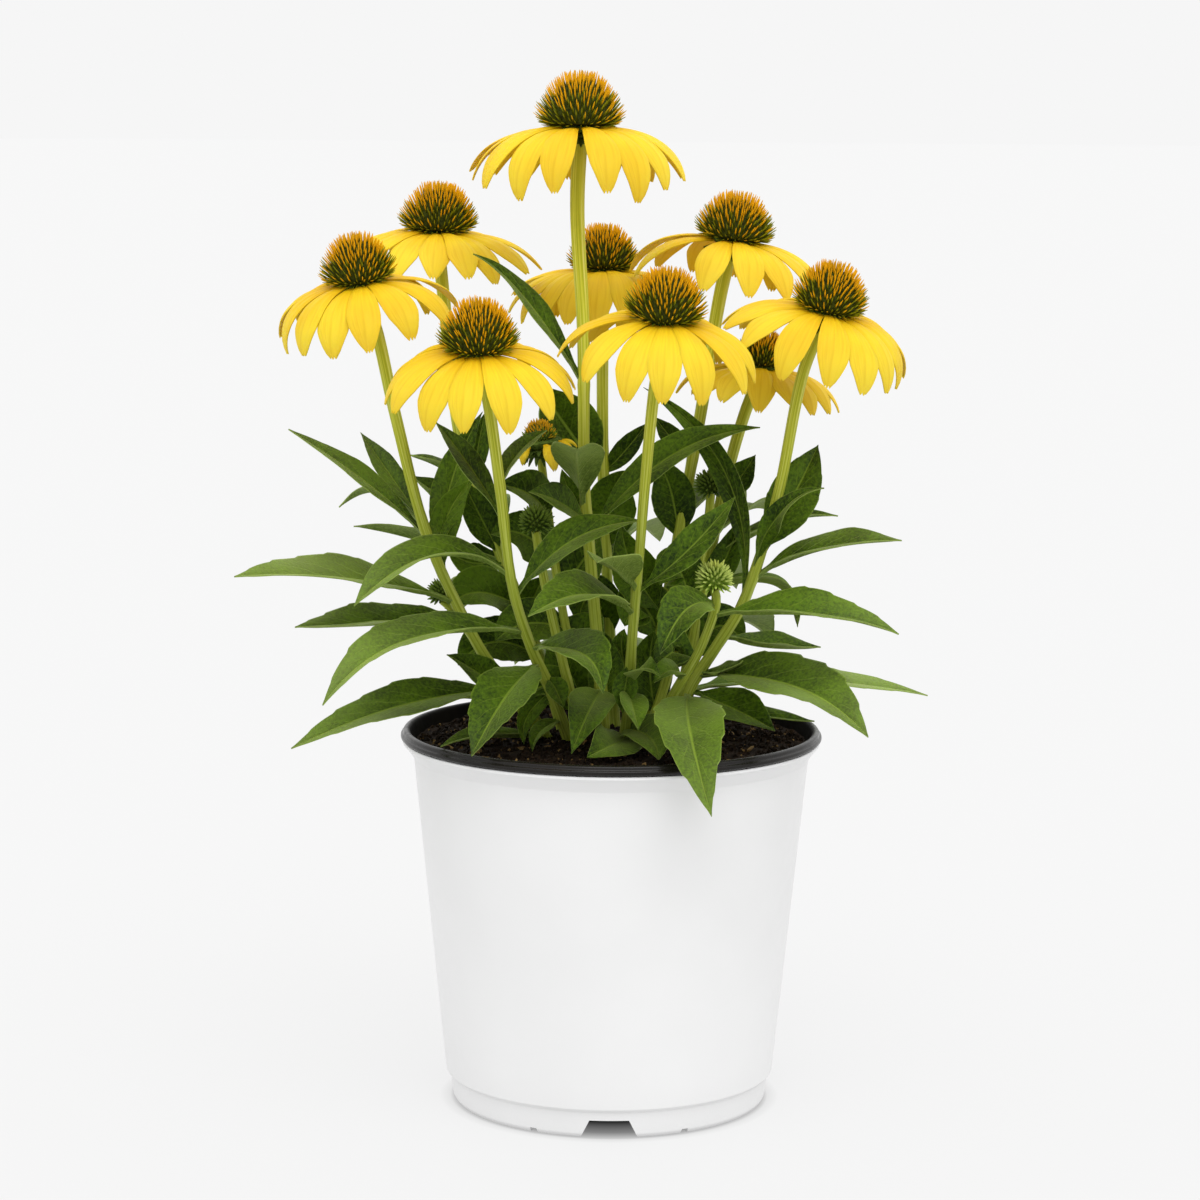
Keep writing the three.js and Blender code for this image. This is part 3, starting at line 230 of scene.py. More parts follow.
# Each stem: its path from the potting mix up to the head, its radius at the root, middle and top, and
# its leaves as [height on the stem, middle of the blade, tip, width, way the upper side faces,
# outline where it isn't plain]
PLANT = {
    "top_bloom": {
        "path": [[-3, -2, 169], [-6, -3, 208], [-10, -4, 253], [-13, -5, 289], [-14, -6, 361],
            [-17, -7, 416], [-16, -8, 448]],
        "girth": [2.9, 2.5, 3.4],
        "leaves": [
            [273, [-24, -22, 285], [-38, -36, 290], 17, [0, -1, 0.7]],
            [277, [-16, -24, 304], [-16, -62, 312], 28, [0, -0.3, 1]],
            [336, [-40, -12, 377], [-64, -14, 396], 14, [0, -0.5, 1]],
            [194, [-10, -44, 193], [-18, -64, 175], 24, [0, -1, 0.6]],
            [184, [-2, 7, 203], [-1, 11, 216], 19, [0, -1, 0.3], "sessile"],
            [266, [25, 4, 303], [68, 6, 316], 18, [0, -0.8, 0.8]],
        ],
    },
    "upper_left_bloom": {
        "path": [[-22, 16, 169], [-30, 25, 193], [-44, 34, 230], [-63, 38, 278], [-72, 40, 306],
            [-80, 46, 371], [-83, 48, 399]],
        "girth": [2.8, 2.6, 3],
        "leaves": [
            [285, [-64, 34, 301], [-60, 34, 320], 12, [0, -1, 0.3]],
            [249, [-93, 34, 262], [-122, 30, 266], 20, [0, 0.3, 1]],
            [252, [-63, 32, 249], [-77, 28, 254], 20, [0, -1, 0.5], "sessile"],
            [287, [-82, 44, 295], [-97, 50, 298], 12, [0, 0, 1]],
            [273, [-80, 46, 280], [-96, 52, 288], 16, [0, -0.5, 1]],
            [249, [-63, 28, 273], [-71, 22, 290], 17, [0, -1, 0.3]],
            [227, [-62, 18, 238], [-78, 8, 230], 26, [0, -1, 0.7], "sessile"],
            [204, [-55, 18, 214], [-72, 10, 203], 26, [0, -1, 0.7], "sessile"],
            [214, [-38, 26, 229], [-32, 24, 243], 24, [0, -1, 0.3], "sessile"],
            [261, [-62, 66, 275], [-70, 96, 261], 26, [0, 0.2, 1], "sessile"],
            [224, [-62, 62, 235], [-74, 92, 217], 30, [0, 0.2, 1]],
            [199, [-38, 72, 205], [-48, 114, 187], 30, [0, 0.2, 1]],
        ],
    },
    "left_bloom": {
        "path": [[-29, -4, 169], [-40, -8, 187], [-53, -12, 203], [-62, -15, 217], [-84, -22, 266],
            [-98, -29, 321], [-107, -34, 363], [-113, -37, 380]],
        "girth": [2.8, 2.3, 2.9],
        "leaves": [
            [268, [-113, -14, 293], [-149, -6, 315], 15, [0, -0.3, 1]],
            [275, [-104, 0, 296], [-118, 22, 311], 12, [0, -1, 1]],
            [271, [-107, 14, 285], [-129, 30, 275], 14, [0, 0.3, 1]],
            [238, [-118, -62, 256], [-163, -112, 261], 30, [0.1, -0.4, 1], "cut"],
            [232, [-109, -36, 232], [-142, -58, 231], 26, [0, -0.3, 1], "cut"],
            [195, [-94, -42, 195], [-143, -70, 178], 26, [0, -0.5, 1], "cut"],
            [192, [-73, 0, 191], [-89, 14, 187], 10, [0, 0.3, 1]],
            [189, [-61, -24, 206], [-75, -34, 215], 17, [0, -1, 0.7]],
            [173, [-58, -34, 179], [-77, -58, 177], 13, [0, -0.3, 1]],
            [249, [-77, -4, 273], [-64, 10, 291], 15, [0, -1, 0.3]],
            [256, [-75, 10, 290], [-61, 22, 321], 17, [0, -1, 0.3]],
        ],
    },
    "front_left_bloom": {
        "path": [[-19, -10, 169], [-28, -24, 197], [-37, -38, 220], [-45, -55, 250], [-50, -68, 295],
            [-55, -79, 334], [-59, -84, 353]],
        "girth": [2.8, 2.2, 2.6],
        "leaves": [
            [255, [-80, -72, 268], [-113, -95, 246], 26, [0, -0.3, 1]],
            [227, [-91, -85, 232], [-125, -118, 206], 28, [-0.3, -0.6, 1], "cut"],
            [211, [-47, -62, 204], [-62, -86, 178], 30, [-0.4, -1, 0.6], "cut"],
            [280, [-64, -44, 303], [-81, -20, 320], 13, [0.3, -1, 0.5]],
            [296, [-43, -52, 310], [-30, -36, 318], 12, [-0.5, -0.8, 0.3]],
            [203, [-26, -33, 201], [-22, -40, 192], 12, [0, -0.8, 0.8]],
            [182, [-33, -33, 180], [-36, -42, 172], 9, [-0.4, -1, 0.4]],
            [244, [-19, -52, 271], [13, -42, 278], 21, [0, -0.6, 1]],
            [219, [-13, -72, 224], [-4, -90, 207], 28, [0.2, -0.8, 0.8], "cut"],
        ],
    },
    "rear_centre_bloom": {
        "path": [[2, 24, 169], [0, 35, 197], [-4, 54, 278], [-5, 63, 324], [-5, 74, 381]],
        "girth": [2.8, 2.5, 2.9],
        "leaves": [
            [286, [-20, 50, 310], [-35, 40, 332], 34, [0, -1, 0.4]],
            [254, [0, 44, 277], [7, 38, 292], 26, [0, -1, 0.3], "sessile"],
            [214, [-10, 32, 233], [-16, 28, 221], 26, [0, -1, 0.5], "sessile"],
            [184, [-10, 25, 206], [-18, 24, 225], 28, [0, -1, 0.3], "sessile"],
            [299, [-22, 86, 317], [-36, 108, 309], 22, [0, 0.2, 1], "sessile"],
            [290, [5, 56, 299], [16, 54, 313], 11, [0, -1, 0.3], "sessile"],
            [262, [-17, 46, 276], [-24, 42, 292], 13, [0, -1, 0.3], "sessile"],
            [249, [12, 80, 263], [24, 118, 249], 26, [0, 0.2, 1], "sessile"],
            [224, [-18, 76, 235], [-34, 112, 221], 28, [0, 0.2, 1]],
            [199, [20, 70, 204], [42, 110, 189], 30, [0, 0.2, 1]],
        ],
    },
    "front_right_bloom": {
        "path": [[6, -15, 169], [8, -30, 197], [9, -41, 223], [12, -49, 264], [14, -55, 294],
            [18, -64, 340], [22, -69, 366]],
        "girth": [2.6, 2.1, 2.7],
        "leaves": [
            [199, [10, -52, 196], [12, -68, 187], 15, [0.3, -1, 0.8]],
            [248, [0, -72, 264], [-7, -96, 266], 26, [0, 0, 1]],
            [236, [-11, -72, 251], [-37, -96, 242], 30, [-0.2, -0.7, 1], "cut"],
            [179, [17, -48, 182], [21, -70, 174], 26, [0, -1, 0.7], "sessile"],
            [176, [1, -54, 179], [-11, -72, 175], 25, [0, -1, 0.5], "sessile"],
            [213, [6, -41, 201], [5, -44, 190], 12, [0, -1, 0.2]],
            [246, [33, -52, 266], [55, -40, 289], 16, [0, -0.8, 0.6]],
            [204, [14, -56, 214], [22, -62, 210], 14, [0, -1, 1]],
        ],
    },
    "upper_right_bloom": {
        "path": [[15, 21, 169], [22, 27, 208], [33, 32, 272], [41, 35, 318], [50, 39, 375],
            [55, 40, 397]],
        "girth": [2.8, 2.5, 3.2],
        "leaves": [
            [269, [50, 66, 283], [66, 94, 271], 26, [0, 0.2, 1]],
            [234, [48, 66, 243], [62, 106, 227], 30, [0, 0.2, 1]],
            [224, [10, 12, 249], [4, 4, 271], 24, [0, -1, 0.3]],
            [300, [29, 33, 307], [20, 31, 318], 11, [0, -1, 0.3], "sessile"],
            [261, [27, 26, 286], [20, 22, 298], 22, [0, -1, 0.4], "sessile"],
            [214, [14, 22, 231], [6, 16, 221], 26, [0, -1, 0.6], "sessile"],
            [180, [6, 15, 204], [6, 14, 220], 22, [0, -1, 0.2], "sessile"],
        ],
    },
    "right_bloom": {
        "path": [[29, -5, 169], [36, -8, 195], [47, -12, 214], [59, -14, 234], [68, -17, 260],
            [76, -21, 291], [86, -26, 345], [95, -29, 368]],
        "girth": [2.8, 2.3, 2.7],
        "leaves": [
            [193, [35, -82, 189], [43, -127, 160], 34, [0, -1, 0.8], "cut"],
            [238, [52, 10, 294], [14, 20, 333], 13, [-0.3, -1, 0.3]],
            [257, [83, -10, 286], [95, 6, 308], 24, [0, -1, 0.3]],
            [251, [76, -32, 282], [95, -40, 293], 11, [0.3, -0.6, 0.8]],
            [248, [92, -26, 265], [130, -44, 270], 24, [0, -0.3, 1]],
            [222, [74, -8, 218], [97, -4, 215], 20, [0, -0.2, 1]],
            [202, [82, -52, 207], [113, -88, 188], 36, [0.2, -0.8, 1], "cut"],
            [195, [58, -20, 189], [75, -30, 180], 23, [0.3, -0.8, 0.8]],
            [204, [51, -20, 207], [60, -26, 212], 13, [0, -0.4, 1]],
        ],
    },
    "rear_right_bloom": {
        "path": [[28, 14, 169], [34, 22, 192], [42, 30, 232], [55, 37, 294], [64, 42, 324],
            [70, 44, 337]],
        "girth": [2.8, 2.5, 2.8],
        "leaves": [
            [279, [59, 30, 289], [67, 28, 301], 14, [0, -1, 0.4]],
            [251, [76, 26, 270], [106, 24, 273], 15, [0, -0.2, 1]],
            [232, [54, 28, 253], [59, 26, 270], 15, [0, -1, 0.3], "sessile"],
            [237, [77, 28, 242], [88, 30, 219], 16, [0, 0, 1]],
            [189, [92, 76, 188], [160, 128, 170], 27, [0, -0.4, 1], "cut"],
            [187, [70, 6, 182], [95, 2, 179], 14, [0, -0.3, 1]],
            [204, [50, 24, 221], [62, 20, 213], 24, [0, -1, 0.6], "sessile"],
            [261, [66, 56, 275], [84, 74, 265], 26, [0, 0.2, 1]],
            [214, [60, 62, 221], [80, 92, 203], 30, [0, 0.2, 1]],
        ],
    },
    "young_bloom": {
        "path": [[-11, 10, 169], [-24, 12, 234], [-31, 13, 281], [-34, 14, 304]],
        "girth": [2.3, 2, 1.9],
        "leaves": [
            [272, [-36, -6, 286], [-53, -16, 291], 24, [0, -1, 0.6]],
            [249, [-40, 2, 266], [-56, -6, 267], 24, [0, -1, 0.5], "sessile"],
            [221, [-40, 2, 225], [-54, -6, 217], 24, [0, -1, 0.6], "sessile"],
            [237, [-16, 20, 249], [-6, 22, 263], 26, [0, -1, 0.4], "sessile"],
            [204, [-14, 16, 215], [-4, 18, 225], 26, [0, -1, 0.4], "sessile"],
            [182, [-22, 6, 200], [-29, 8, 215], 22, [0, -1, 0.3], "sessile"],
        ],
    },
}

# Leafy shoots that end in a closed green bud
SHOOTS = {
    "right_front_bud_shoot": {
        "path": [[19, -16, 170], [27, -25, 193], [40, -34, 218], [47, -40, 241], [46, -42, 247]],
        "girth": [2.4, 2.2, 2],
        "bud": {"radius": 7.5, "bristle": 2.6},
        "leaves": [
            [239, [33, -62, 242], [21, -74, 222], 23, [-0.3, -1, 0.5], "cut"],
            [235, [89, -56, 241], [128, -62, 230], 28, [0, -0.35, 1], "cut"],
            [204, [27, -42, 211], [19, -48, 205], 13, [0, -1, 1]],
        ],
    },
    "centre_bud_shoot": {
        "path": [[-13, -7, 170], [-24, -13, 214], [-33, -22, 257], [-35, -26, 271]],
        "girth": [2.4, 2.2, 2],
        "bud": {"radius": 7, "bristle": 2.2},
        "leaves": [
            [199, [-37, -17, 187], [-40, -29, 173], 10, [0, -1, 0.5]],
            [185, [-30, -8, 197], [-39, -14, 191], 22, [0, -1, 0.6], "sessile"],
        ],
    },
    "rear_right_bud_shoot": {
        "path": [[17, 6, 169], [37, 14, 235], [45, 20, 272], [46, 22, 283]],
        "girth": [2.4, 2.2, 2],
        "bud": {"radius": 7, "bristle": 2.2},
        "leaves": [
            [234, [30, 6, 251], [22, 0, 243], 22, [0, -1, 0.5], "sessile"],
            [204, [30, 2, 213], [20, -6, 206], 22, [0, -1, 0.6], "sessile"],
            [181, [18, 12, 202], [20, 14, 219], 22, [0, -1, 0.2], "sessile"],
        ],
    },
    "left_bud_shoot": {
        "path": [[-32, 8, 169], [-52, 7, 196], [-73, 2, 229], [-79, 0, 235]],
        "girth": [2.2, 2, 1.8],
        "bud": {"radius": 6, "bristle": 1.8},
        "leaves": [],
    },
}

# Each bloom: centre of the cone's base, the way it looks, the cone's radius and height over the
# bristles, and its rays as [way it points, length, droop at the tip], the angles in degrees
BLOOMS = {
    "top_bloom": {
        "at": [-16, -8, 454], "axis": [0, 0, 1], "cone": [20.5, 24.5],
        "rays": [[168, 48, 60], [187, 49, 74], [208, 52, 84], [232, 54, 105], [255, 50, 100],
            [287, 50, 98], [308, 55, 108], [330, 50, 90], [352, 49, 76], [16, 48, 70], [44, 48, 82],
            [70, 47, 75], [96, 47, 78], [122, 47, 75], [146, 47, 70]],
    },
    "upper_left_bloom": {
        "at": [-83, 48, 405], "axis": [0.03, -0.05, 1], "cone": [19, 22.5],
        "rays": [[12, 45, 52], [335, 43, 54], [310, 44, 70], [291, 43, 60], [271, 43, 60], [248, 43, 64],
            [222, 43, 62], [196, 43, 62], [170, 44, 66], [145, 43, 68], [120, 43, 75], [95, 44, 82],
            [70, 43, 66], [44, 43, 54]],
    },
    "left_bloom": {
        "at": [-114, -38, 385], "axis": [-0.14, -0.14, 1], "cone": [17.6, 21.5],
        "rays": [[18, 41, 70], [338, 44, 88], [303, 42, 86], [274, 44, 92], [251, 45, 94], [228, 44, 92],
            [196, 44, 102], [165, 42, 80], [142, 41, 85], [120, 42, 98], [96, 41, 85], [70, 41, 80],
            [44, 41, 98]],
    },
    "front_left_bloom": {
        "at": [-59, -85, 358], "axis": [-0.02, -0.2, 1], "cone": [18.2, 22.5],
        "rays": [[345, 42, 78], [317, 44, 80], [289, 48, 92], [262, 46, 89], [239, 46, 92],
            [214, 43, 74], [190, 42, 80], [164, 41, 84], [140, 41, 75], [115, 41, 75], [90, 41, 75],
            [63, 41, 68], [34, 41, 80], [8, 40, 72]],
    },
    "rear_centre_bloom": {
        "at": [-5, 75, 386], "axis": [0, 0, 1], "cone": [17.6, 21.5],
        "rays": [[150, 44, 42], [178, 44, 70], [203, 46, 90], [225, 44, 88], [246, 44, 88],
            [266, 46, 95], [288, 45, 98], [312, 44, 90], [338, 43, 75], [4, 43, 72], [30, 43, 75],
            [56, 43, 75], [92, 43, 80], [126, 44, 92]],
    },
    "front_right_bloom": {
        "at": [22, -70, 371], "axis": [0.07, -0.18, 1], "cone": [18.8, 22.5],
        "rays": [[177, 44, 70], [223, 46, 78], [250, 49, 94], [271, 48, 94], [295, 49, 95],
            [325, 46, 80], [349, 44, 84], [13, 40, 100], [40, 40, 104], [64, 42, 88], [88, 43, 72],
            [112, 43, 72], [134, 43, 72], [155, 43, 72]],
    },
    "upper_right_bloom": {
        "at": [56, 40, 402], "axis": [0.14, -0.05, 1], "cone": [19.2, 22],
        "rays": [[165, 47, 74], [196, 45, 74], [254, 44, 77], [282, 44, 78], [306, 44, 68],
            [332, 44, 66], [356, 43, 64], [26, 43, 64], [56, 45, 88], [84, 43, 75], [110, 43, 75],
            [138, 43, 72]],
    },
    "right_bloom": {
        "at": [96, -30, 373], "axis": [0.22, -0.16, 1], "cone": [17.8, 22],
        "rays": [[168, 42, 65], [145, 42, 80], [195, 41, 56], [218, 42, 66], [247, 48, 98],
            [276, 46, 92], [299, 47, 89], [320, 46, 90], [345, 45, 98], [6, 43, 84], [30, 42, 78],
            [55, 42, 75], [80, 42, 75], [102, 42, 75], [123, 42, 75]],
    },
    "rear_right_bloom": {
        "at": [70, 44, 342], "axis": [0.1, 0, 1], "cone": [14, 17],
        "rays": [[142, 36, 74], [171, 36, 70], [220, 35, 68], [243, 36, 60], [269, 36, 80],
            [291, 35, 52], [311, 36, 74], [331, 36, 74], [355, 36, 70], [28, 35, 60], [58, 35, 70],
            [86, 35, 75], [114, 35, 75]],
    },
}
YOUNG_BLOOM = {
    "at": [-34, 14, 309], "axis": [-0.12, -0.05, 1], "cone": [8, 9.5],
    "rays": [[20, 9, 60], [60, 8, 50], [95, 9, 50], [130, 8, 50], [165, 9, 60], [200, 9, 70],
        [240, 12, 95], [285, 19, 95], [330, 10, 80]],
}


class Skin:
    """The points, faces and texture coordinates of a piece while it is being made."""

    def __init__(self):
        self.points = []
        self.faces = []
        self.places = []
        self.looks = []
        self.count = 0

    def net(self, rows, look=0, u=None, v=None):
        """Four-sided faces between rows of points; repeated points are welded later."""
        rows = np.asarray(rows, float)
        high, wide = rows.shape[:2]
        u = np.linspace(0, 1, wide) if u is None else np.asarray(u, float)
        v = np.linspace(0, 1, high) if v is None else np.asarray(v, float)
        row, column = (grid.ravel() for grid in np.indices((high - 1, wide - 1)))
        near = row * wide + column
        self.faces.append(np.stack([near, near + 1, near + wide + 1, near + wide], 1) + self.count)
        corners = [u[column], v[row], u[column + 1], v[row], u[column + 1], v[row + 1], u[column], v[row + 1]]
        self.places.append(np.stack(corners, 1))
        self.looks.append(np.broadcast_to(look, (wide - 1,))[column])
        self.points.append(rows.reshape(-1, 3))
        self.count += high * wide

    def piece(self, name, paints, node, slot):
        """The finished object, which stands for a node of the frame."""
        mesh = bpy.data.meshes.new(name)
        mesh.from_pydata(np.concatenate(self.points) * MM, [], np.concatenate(self.faces), shade_flat=False)
        mesh.uv_layers.new(name="UVMap").data.foreach_set("uv", np.concatenate(self.places).ravel())
        mesh.polygons.foreach_set("material_index", np.concatenate(self.looks).astype(np.int32))
        weld(mesh)
        mesh.set_sharp_from_angle(angle=SHARP)
        for paint in paints:
            mesh.materials.append(paint)
        made = bpy.data.objects.new(name, mesh)
        bpy.context.scene.collection.objects.link(made)
        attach(made, "root")
        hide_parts(node)
        return made


def weld(mesh):
    """Joins points that lie on each other and turns all faces outwards."""
    work = bmesh.new()
    work.from_mesh(mesh)
    bmesh.ops.remove_doubles(work, verts=work.verts, dist=WELD)
    bmesh.ops.recalc_face_normals(work, faces=work.faces)
    work.to_mesh(mesh)
    work.free()


def unit(vectors):
    return vectors / np.linalg.norm(vectors, axis=-1, keepdims=True)


def smoothstep(low, high, value):
    share = np.clip((value - low) / (high - low), 0, 1)
    return share * share * (3 - 2 * share)


def through(table, value):
    """The value of a table of [place, height] pairs at a place, by straight lines."""
    places, heights = zip(*table)
    return np.interp(value, places, heights)


def spaced(line, places):
    """Points at shares of a line's length, and the line's direction there."""
    lengths = np.concatenate([[0], np.cumsum(np.linalg.norm(np.diff(line, axis=0), axis=1))])
    along = np.asarray(places) * lengths[-1]
    points = np.stack([np.interp(along, lengths, line[:, axis]) for axis in range(3)], 1)
    return points, unit(np.gradient(points, axis=0))


def ring(radii, heights, sides):
    """Rows of points round the Z axis, one row for each radius and height."""
    angles = np.linspace(0, 2 * math.pi, sides + 1)
    radii = np.asarray(radii, float)[:, None]
    heights = np.broadcast_to(np.asarray(heights, float)[:, None], (len(radii), sides + 1))
    return np.stack([radii * np.cos(angles), radii * np.sin(angles), heights], -1)


def spin(angle):
    """The turn by an angle round the Z axis."""
    return np.array([[math.cos(angle), -math.sin(angle), 0], [math.sin(angle), math.cos(angle), 0],
                     [0, 0, 1]])


def head_turn(axis):
    """The turn that takes the Z axis to a head's own axis."""
    return np.array(Vector((0, 0, 1)).rotation_difference(Vector(axis)).to_matrix())


def rounded(profile, radius=EDGE_ROUND, closed=True):
    """A profile with an arc in place of each corner."""
    corners = [Vector(corner) for corner in profile]
    count = len(corners)
    line = []
    for number, corner in enumerate(corners):
        if corner.x < 0.001 or (not closed and number in (0, count - 1)):
            line.append(tuple(corner))
            continue
        before = corners[number - 1] - corner
        after = corners[(number + 1) % count] - corner
        reach = min(radius, before.length * 0.45, after.length * 0.45)
        start = corner + before.normalized() * reach
        end = corner + after.normalized() * reach
        for step in range(ROUND_STEPS + 1):
            share = step / ROUND_STEPS
            line.append(tuple(start.lerp(corner, share).lerp(corner.lerp(end, share), share)))
    return line


def turned(skin, profile):
    """A closed profile turned round the pot's axis."""
    profile = profile + profile[:1]
    skin.net(ring(*zip(*profile), POT_SIDES))


def sheet(skin, spine, across, up, half, columns, lift, depth, looks, v, push=None):
    """A thin blade: an upper side at the given lifts and an underside a depth below it.

    Both ends close on their middles, or a push sends the tip out by its own length in each column."""
    top = spine[:, None] + across[:, None] * (columns * half)[..., None] + up[:, None] * lift[..., None]
    if push is not None:
        top = top + push
    under = top - up[:, None] * depth[..., None]
    rows = np.concatenate([top, under[:, ::-1], top[:, :1]], 1)
    if push is None:
        ends = [np.repeat(rows[edge:edge + 1].mean(1, keepdims=True), rows.shape[1], 1) for edge in (0, -1)]
        rows = np.concatenate([ends[0], rows, ends[1]])
        v = np.concatenate([v[:1], v, v[-1:]])
    u = (np.concatenate([columns, columns[::-1], columns[:1]]) + 1) / 2
    wide = len(columns)
    look = np.array([looks[0]] * (wide - 1) + [looks[1]] * (wide + 1))
    skin.net(rows, look, u, v)
    if push is not None:
        skin.net(np.stack([top[-1], under[-1]]), looks[1], (columns + 1) / 2, [1, 1])


def bristle(skin, root, direction, length, radius, look, crown):
    """One stiff four-sided bristle, bent a little upwards; its u tells how near the crown it stands."""
    shares, girths = (np.array(numbers) for numbers in zip(*BRISTLE_PROFILE))
    bend = np.array([0, 0, BRISTLE_BEND * length])
    line = root + direction * length * shares[:, None] + bend * (shares ** 2 - shares)[:, None]
    side = unit(np.cross(direction, [0.31, 0.87, 0.38]))
    other = np.cross(direction, side)
    angles = np.arange(5) * math.pi / 2
    spread = np.cos(angles)[:, None] * side + np.sin(angles)[:, None] * other
    rows = line[:, None] + spread * (girths * radius)[:, None, None]
    tip = np.repeat(line[-1:, None], 5, 1)
    skin.net(np.concatenate([rows, tip]), look, np.full(5, crown), np.append(shares, 1))


# Material nodes

def tint(red, green, blue):
    """A screen colour from 0 to 255 as the linear colour that a shader takes."""
    linear = [(value / 255 / 12.92 if value < 11 else ((value / 255 + 0.055) / 1.055) ** 2.4)
              for value in (red, green, blue)]
    return (*linear, 1)


class Paint:
    """A material made of nodes round one Principled shader."""

    def __init__(self, name, **sockets):
        self.material = bpy.data.materials.new(name)
        self.material.use_nodes = True
        self.tree = self.material.node_tree
        self.shader = self.tree.nodes["Principled BSDF"]
        for socket, value in sockets.items():
            self.shader.inputs[socket.replace("_", " ")].default_value = value
        self.where = self.tree.nodes.new("ShaderNodeTexCoord")

    def node(self, kind, inputs, **settings):
        made = self.tree.nodes.new(kind)
        for name, value in settings.items():
            setattr(made, name, value)
        for socket, value in inputs.items():
            if isinstance(value, bpy.types.NodeSocket):
                self.tree.links.new(value, made.inputs[socket])
            else:
                made.inputs[socket].default_value = value
        return made

    def feed(self, socket, value):
        self.tree.links.new(value, self.shader.inputs[socket])

    def maths(self, operation, first, second=0.0, third=0.0):
        inputs = {0: first, 1: second, 2: third}
        return self.node("ShaderNodeMath", inputs, operation=operation).outputs[0]

    def grain(self, scale, detail=2.0, roughness=0.5, vector=None):
        inputs = {"Vector": vector or self.where.outputs["Object"], "Scale": scale, "Detail": detail,
                  "Roughness": roughness}
        return self.node("ShaderNodeTexNoise", inputs).outputs["Fac"]

    def ramp(self, factor, stops):
        made = self.node("ShaderNodeValToRGB", {"Fac": factor})
        elements = made.color_ramp.elements
        while len(elements) < len(stops):
            elements.new(0.5)
        for element, (place, color) in zip(elements, stops):
            element.position = place
            element.color = color
        return made.outputs["Color"]

    def mix(self, factor, one, other, way="MIX"):
        inputs = {0: factor, 6: one, 7: other}
        return self.node("ShaderNodeMix", inputs, data_type="RGBA", blend_type=way).outputs[2]

    def range(self, value, low, high, to_low=0.0, to_high=1.0):
        inputs = {"Value": value, 1: low, 2: high, 3: to_low, 4: to_high}
        return self.node("ShaderNodeMapRange", inputs, interpolation_type="SMOOTHSTEP").outputs[0]

    def bump(self, height, depth, below=None):
        inputs = {"Height": height, "Distance": depth * MM, "Strength": 1.0}
        if below:
            inputs["Normal"] = below
        return self.node("ShaderNodeBump", inputs).outputs[0]

    def done(self, color, normal):
        """The finished material, with its colour and its relief."""
        self.feed("Base Color", color)
        self.feed("Normal", normal)
        return self.material

    def join(self, x, y):
        return self.node("ShaderNodeCombineXYZ", {0: x, 1: y}).outputs[0]

    def uv(self):
        made = self.node("ShaderNodeSeparateXYZ", {0: self.where.outputs["UV"]})
        return made.outputs[0], made.outputs[1]

    def away(self):
        """How far a point stands from the upright line through the pot's middle."""
        flat = self.node("ShaderNodeVectorMath", {0: self.where.outputs["Object"], 1: (1, 1, 0)},
                         operation="MULTIPLY")
        return self.node("ShaderNodeVectorMath", {0: flat.outputs[0]}, operation="LENGTH").outputs["Value"]


def white_plastic():
    """Satin white, faintly clouded."""
    paint = Paint("white_moulded_plastic", Specular_IOR_Level=0.4)
    color = paint.ramp(paint.grain(14, 3), [(0.3, tint(223, 223, 223)), (0.7, tint(227, 227, 227))])
    paint.feed("Roughness", paint.range(paint.grain(160, 3), 0.3, 0.7, 0.34, 0.44))
    return paint.done(color, paint.bump(paint.grain(900, 3), 0.02))


def charcoal_plastic():
    """The rim is satin on its beads, and matt on the inside that faces the mix."""
    paint = Paint("charcoal_moulded_plastic")
    color = paint.ramp(paint.grain(60, 3), [(0.3, tint(16, 14, 12)), (0.7, tint(26, 23, 20))])
    away = paint.away()
    inside, outside = (radius * MM for radius in MATT_INSIDE)
    paint.feed("Specular IOR Level", paint.range(away, inside, outside, 0.02, 0.24))
    satin = paint.range(paint.grain(300, 3), 0.3, 0.7, 0.2, 0.32)
    matt = paint.range(away, inside, outside, 0.5, 0)
    paint.feed("Roughness", paint.maths("ADD", satin, matt))
    return paint.done(color, paint.bump(paint.grain(1200, 3), 0.02))


def peat():
    """Damp, dark and crumbly."""
    paint = Paint("peat", Roughness=0.95, Specular_IOR_Level=0.15)
    clods = paint.grain(260, 6, 0.7)
    color = paint.ramp(clods, [(0.3, tint(14, 9, 4)), (0.55, tint(34, 23, 12)), (0.75, tint(64, 46, 26))])
    return paint.done(color, paint.bump(paint.grain(900, 5, 0.7), 0.6))


def bark():
    """Fibrous bits, from brown to straw."""
    paint = Paint("bark_bits", Roughness=0.85, Specular_IOR_Level=0.2)
    fibres = paint.grain(420, 4, 0.6)
    patches = paint.grain(70, 2)
    color = paint.ramp(fibres, [(0.3, tint(66, 48, 24)), (0.7, tint(176, 146, 90))])
    return paint.done(paint.mix(patches, color, tint(100, 76, 44)), paint.bump(fibres, 0.4))


def stem_green():
    """A stem's streaky green, yellower towards the bloom and darker near the mix, the darkening partly the
    stem's own greener tone and partly painted shade low among the leaves.
    """
    paint = Paint("stem", Roughness=0.55, Specular_IOR_Level=0.12, Subsurface_Weight=0.12,
                  Subsurface_Radius=(0.8, 1, 0.2), Subsurface_Scale=1.2 * MM)
    u, v = paint.uv()
    lane = paint.join(paint.maths("MULTIPLY", u, STEM_RIBS * 3.0), paint.maths("MULTIPLY", v, 4.0))
    streaks = paint.grain(1, 2, 0.5, lane)
    low = paint.ramp(streaks, [(0.3, tint(116, 130, 30)), (0.52, tint(152, 164, 56)),
                               (0.72, tint(178, 188, 94))])
    high = paint.ramp(streaks, [(0.3, tint(172, 174, 34)), (0.52, tint(208, 207, 62)),
                                (0.72, tint(226, 224, 116))])
    # Darker low on the stem: partly the stem's own tone, partly painted shade among the leaves
    place = paint.node("ShaderNodeSeparateXYZ", {0: paint.where.outputs["Object"]})
    climb = paint.range(place.outputs[2], *(height * MM for height in STEM_TONE_AND_SHADE))
    return paint.done(paint.mix(climb, low, high), paint.bump(paint.grain(2600, 2), 0.05,
                                                              paint.bump(streaks, 0.08)))


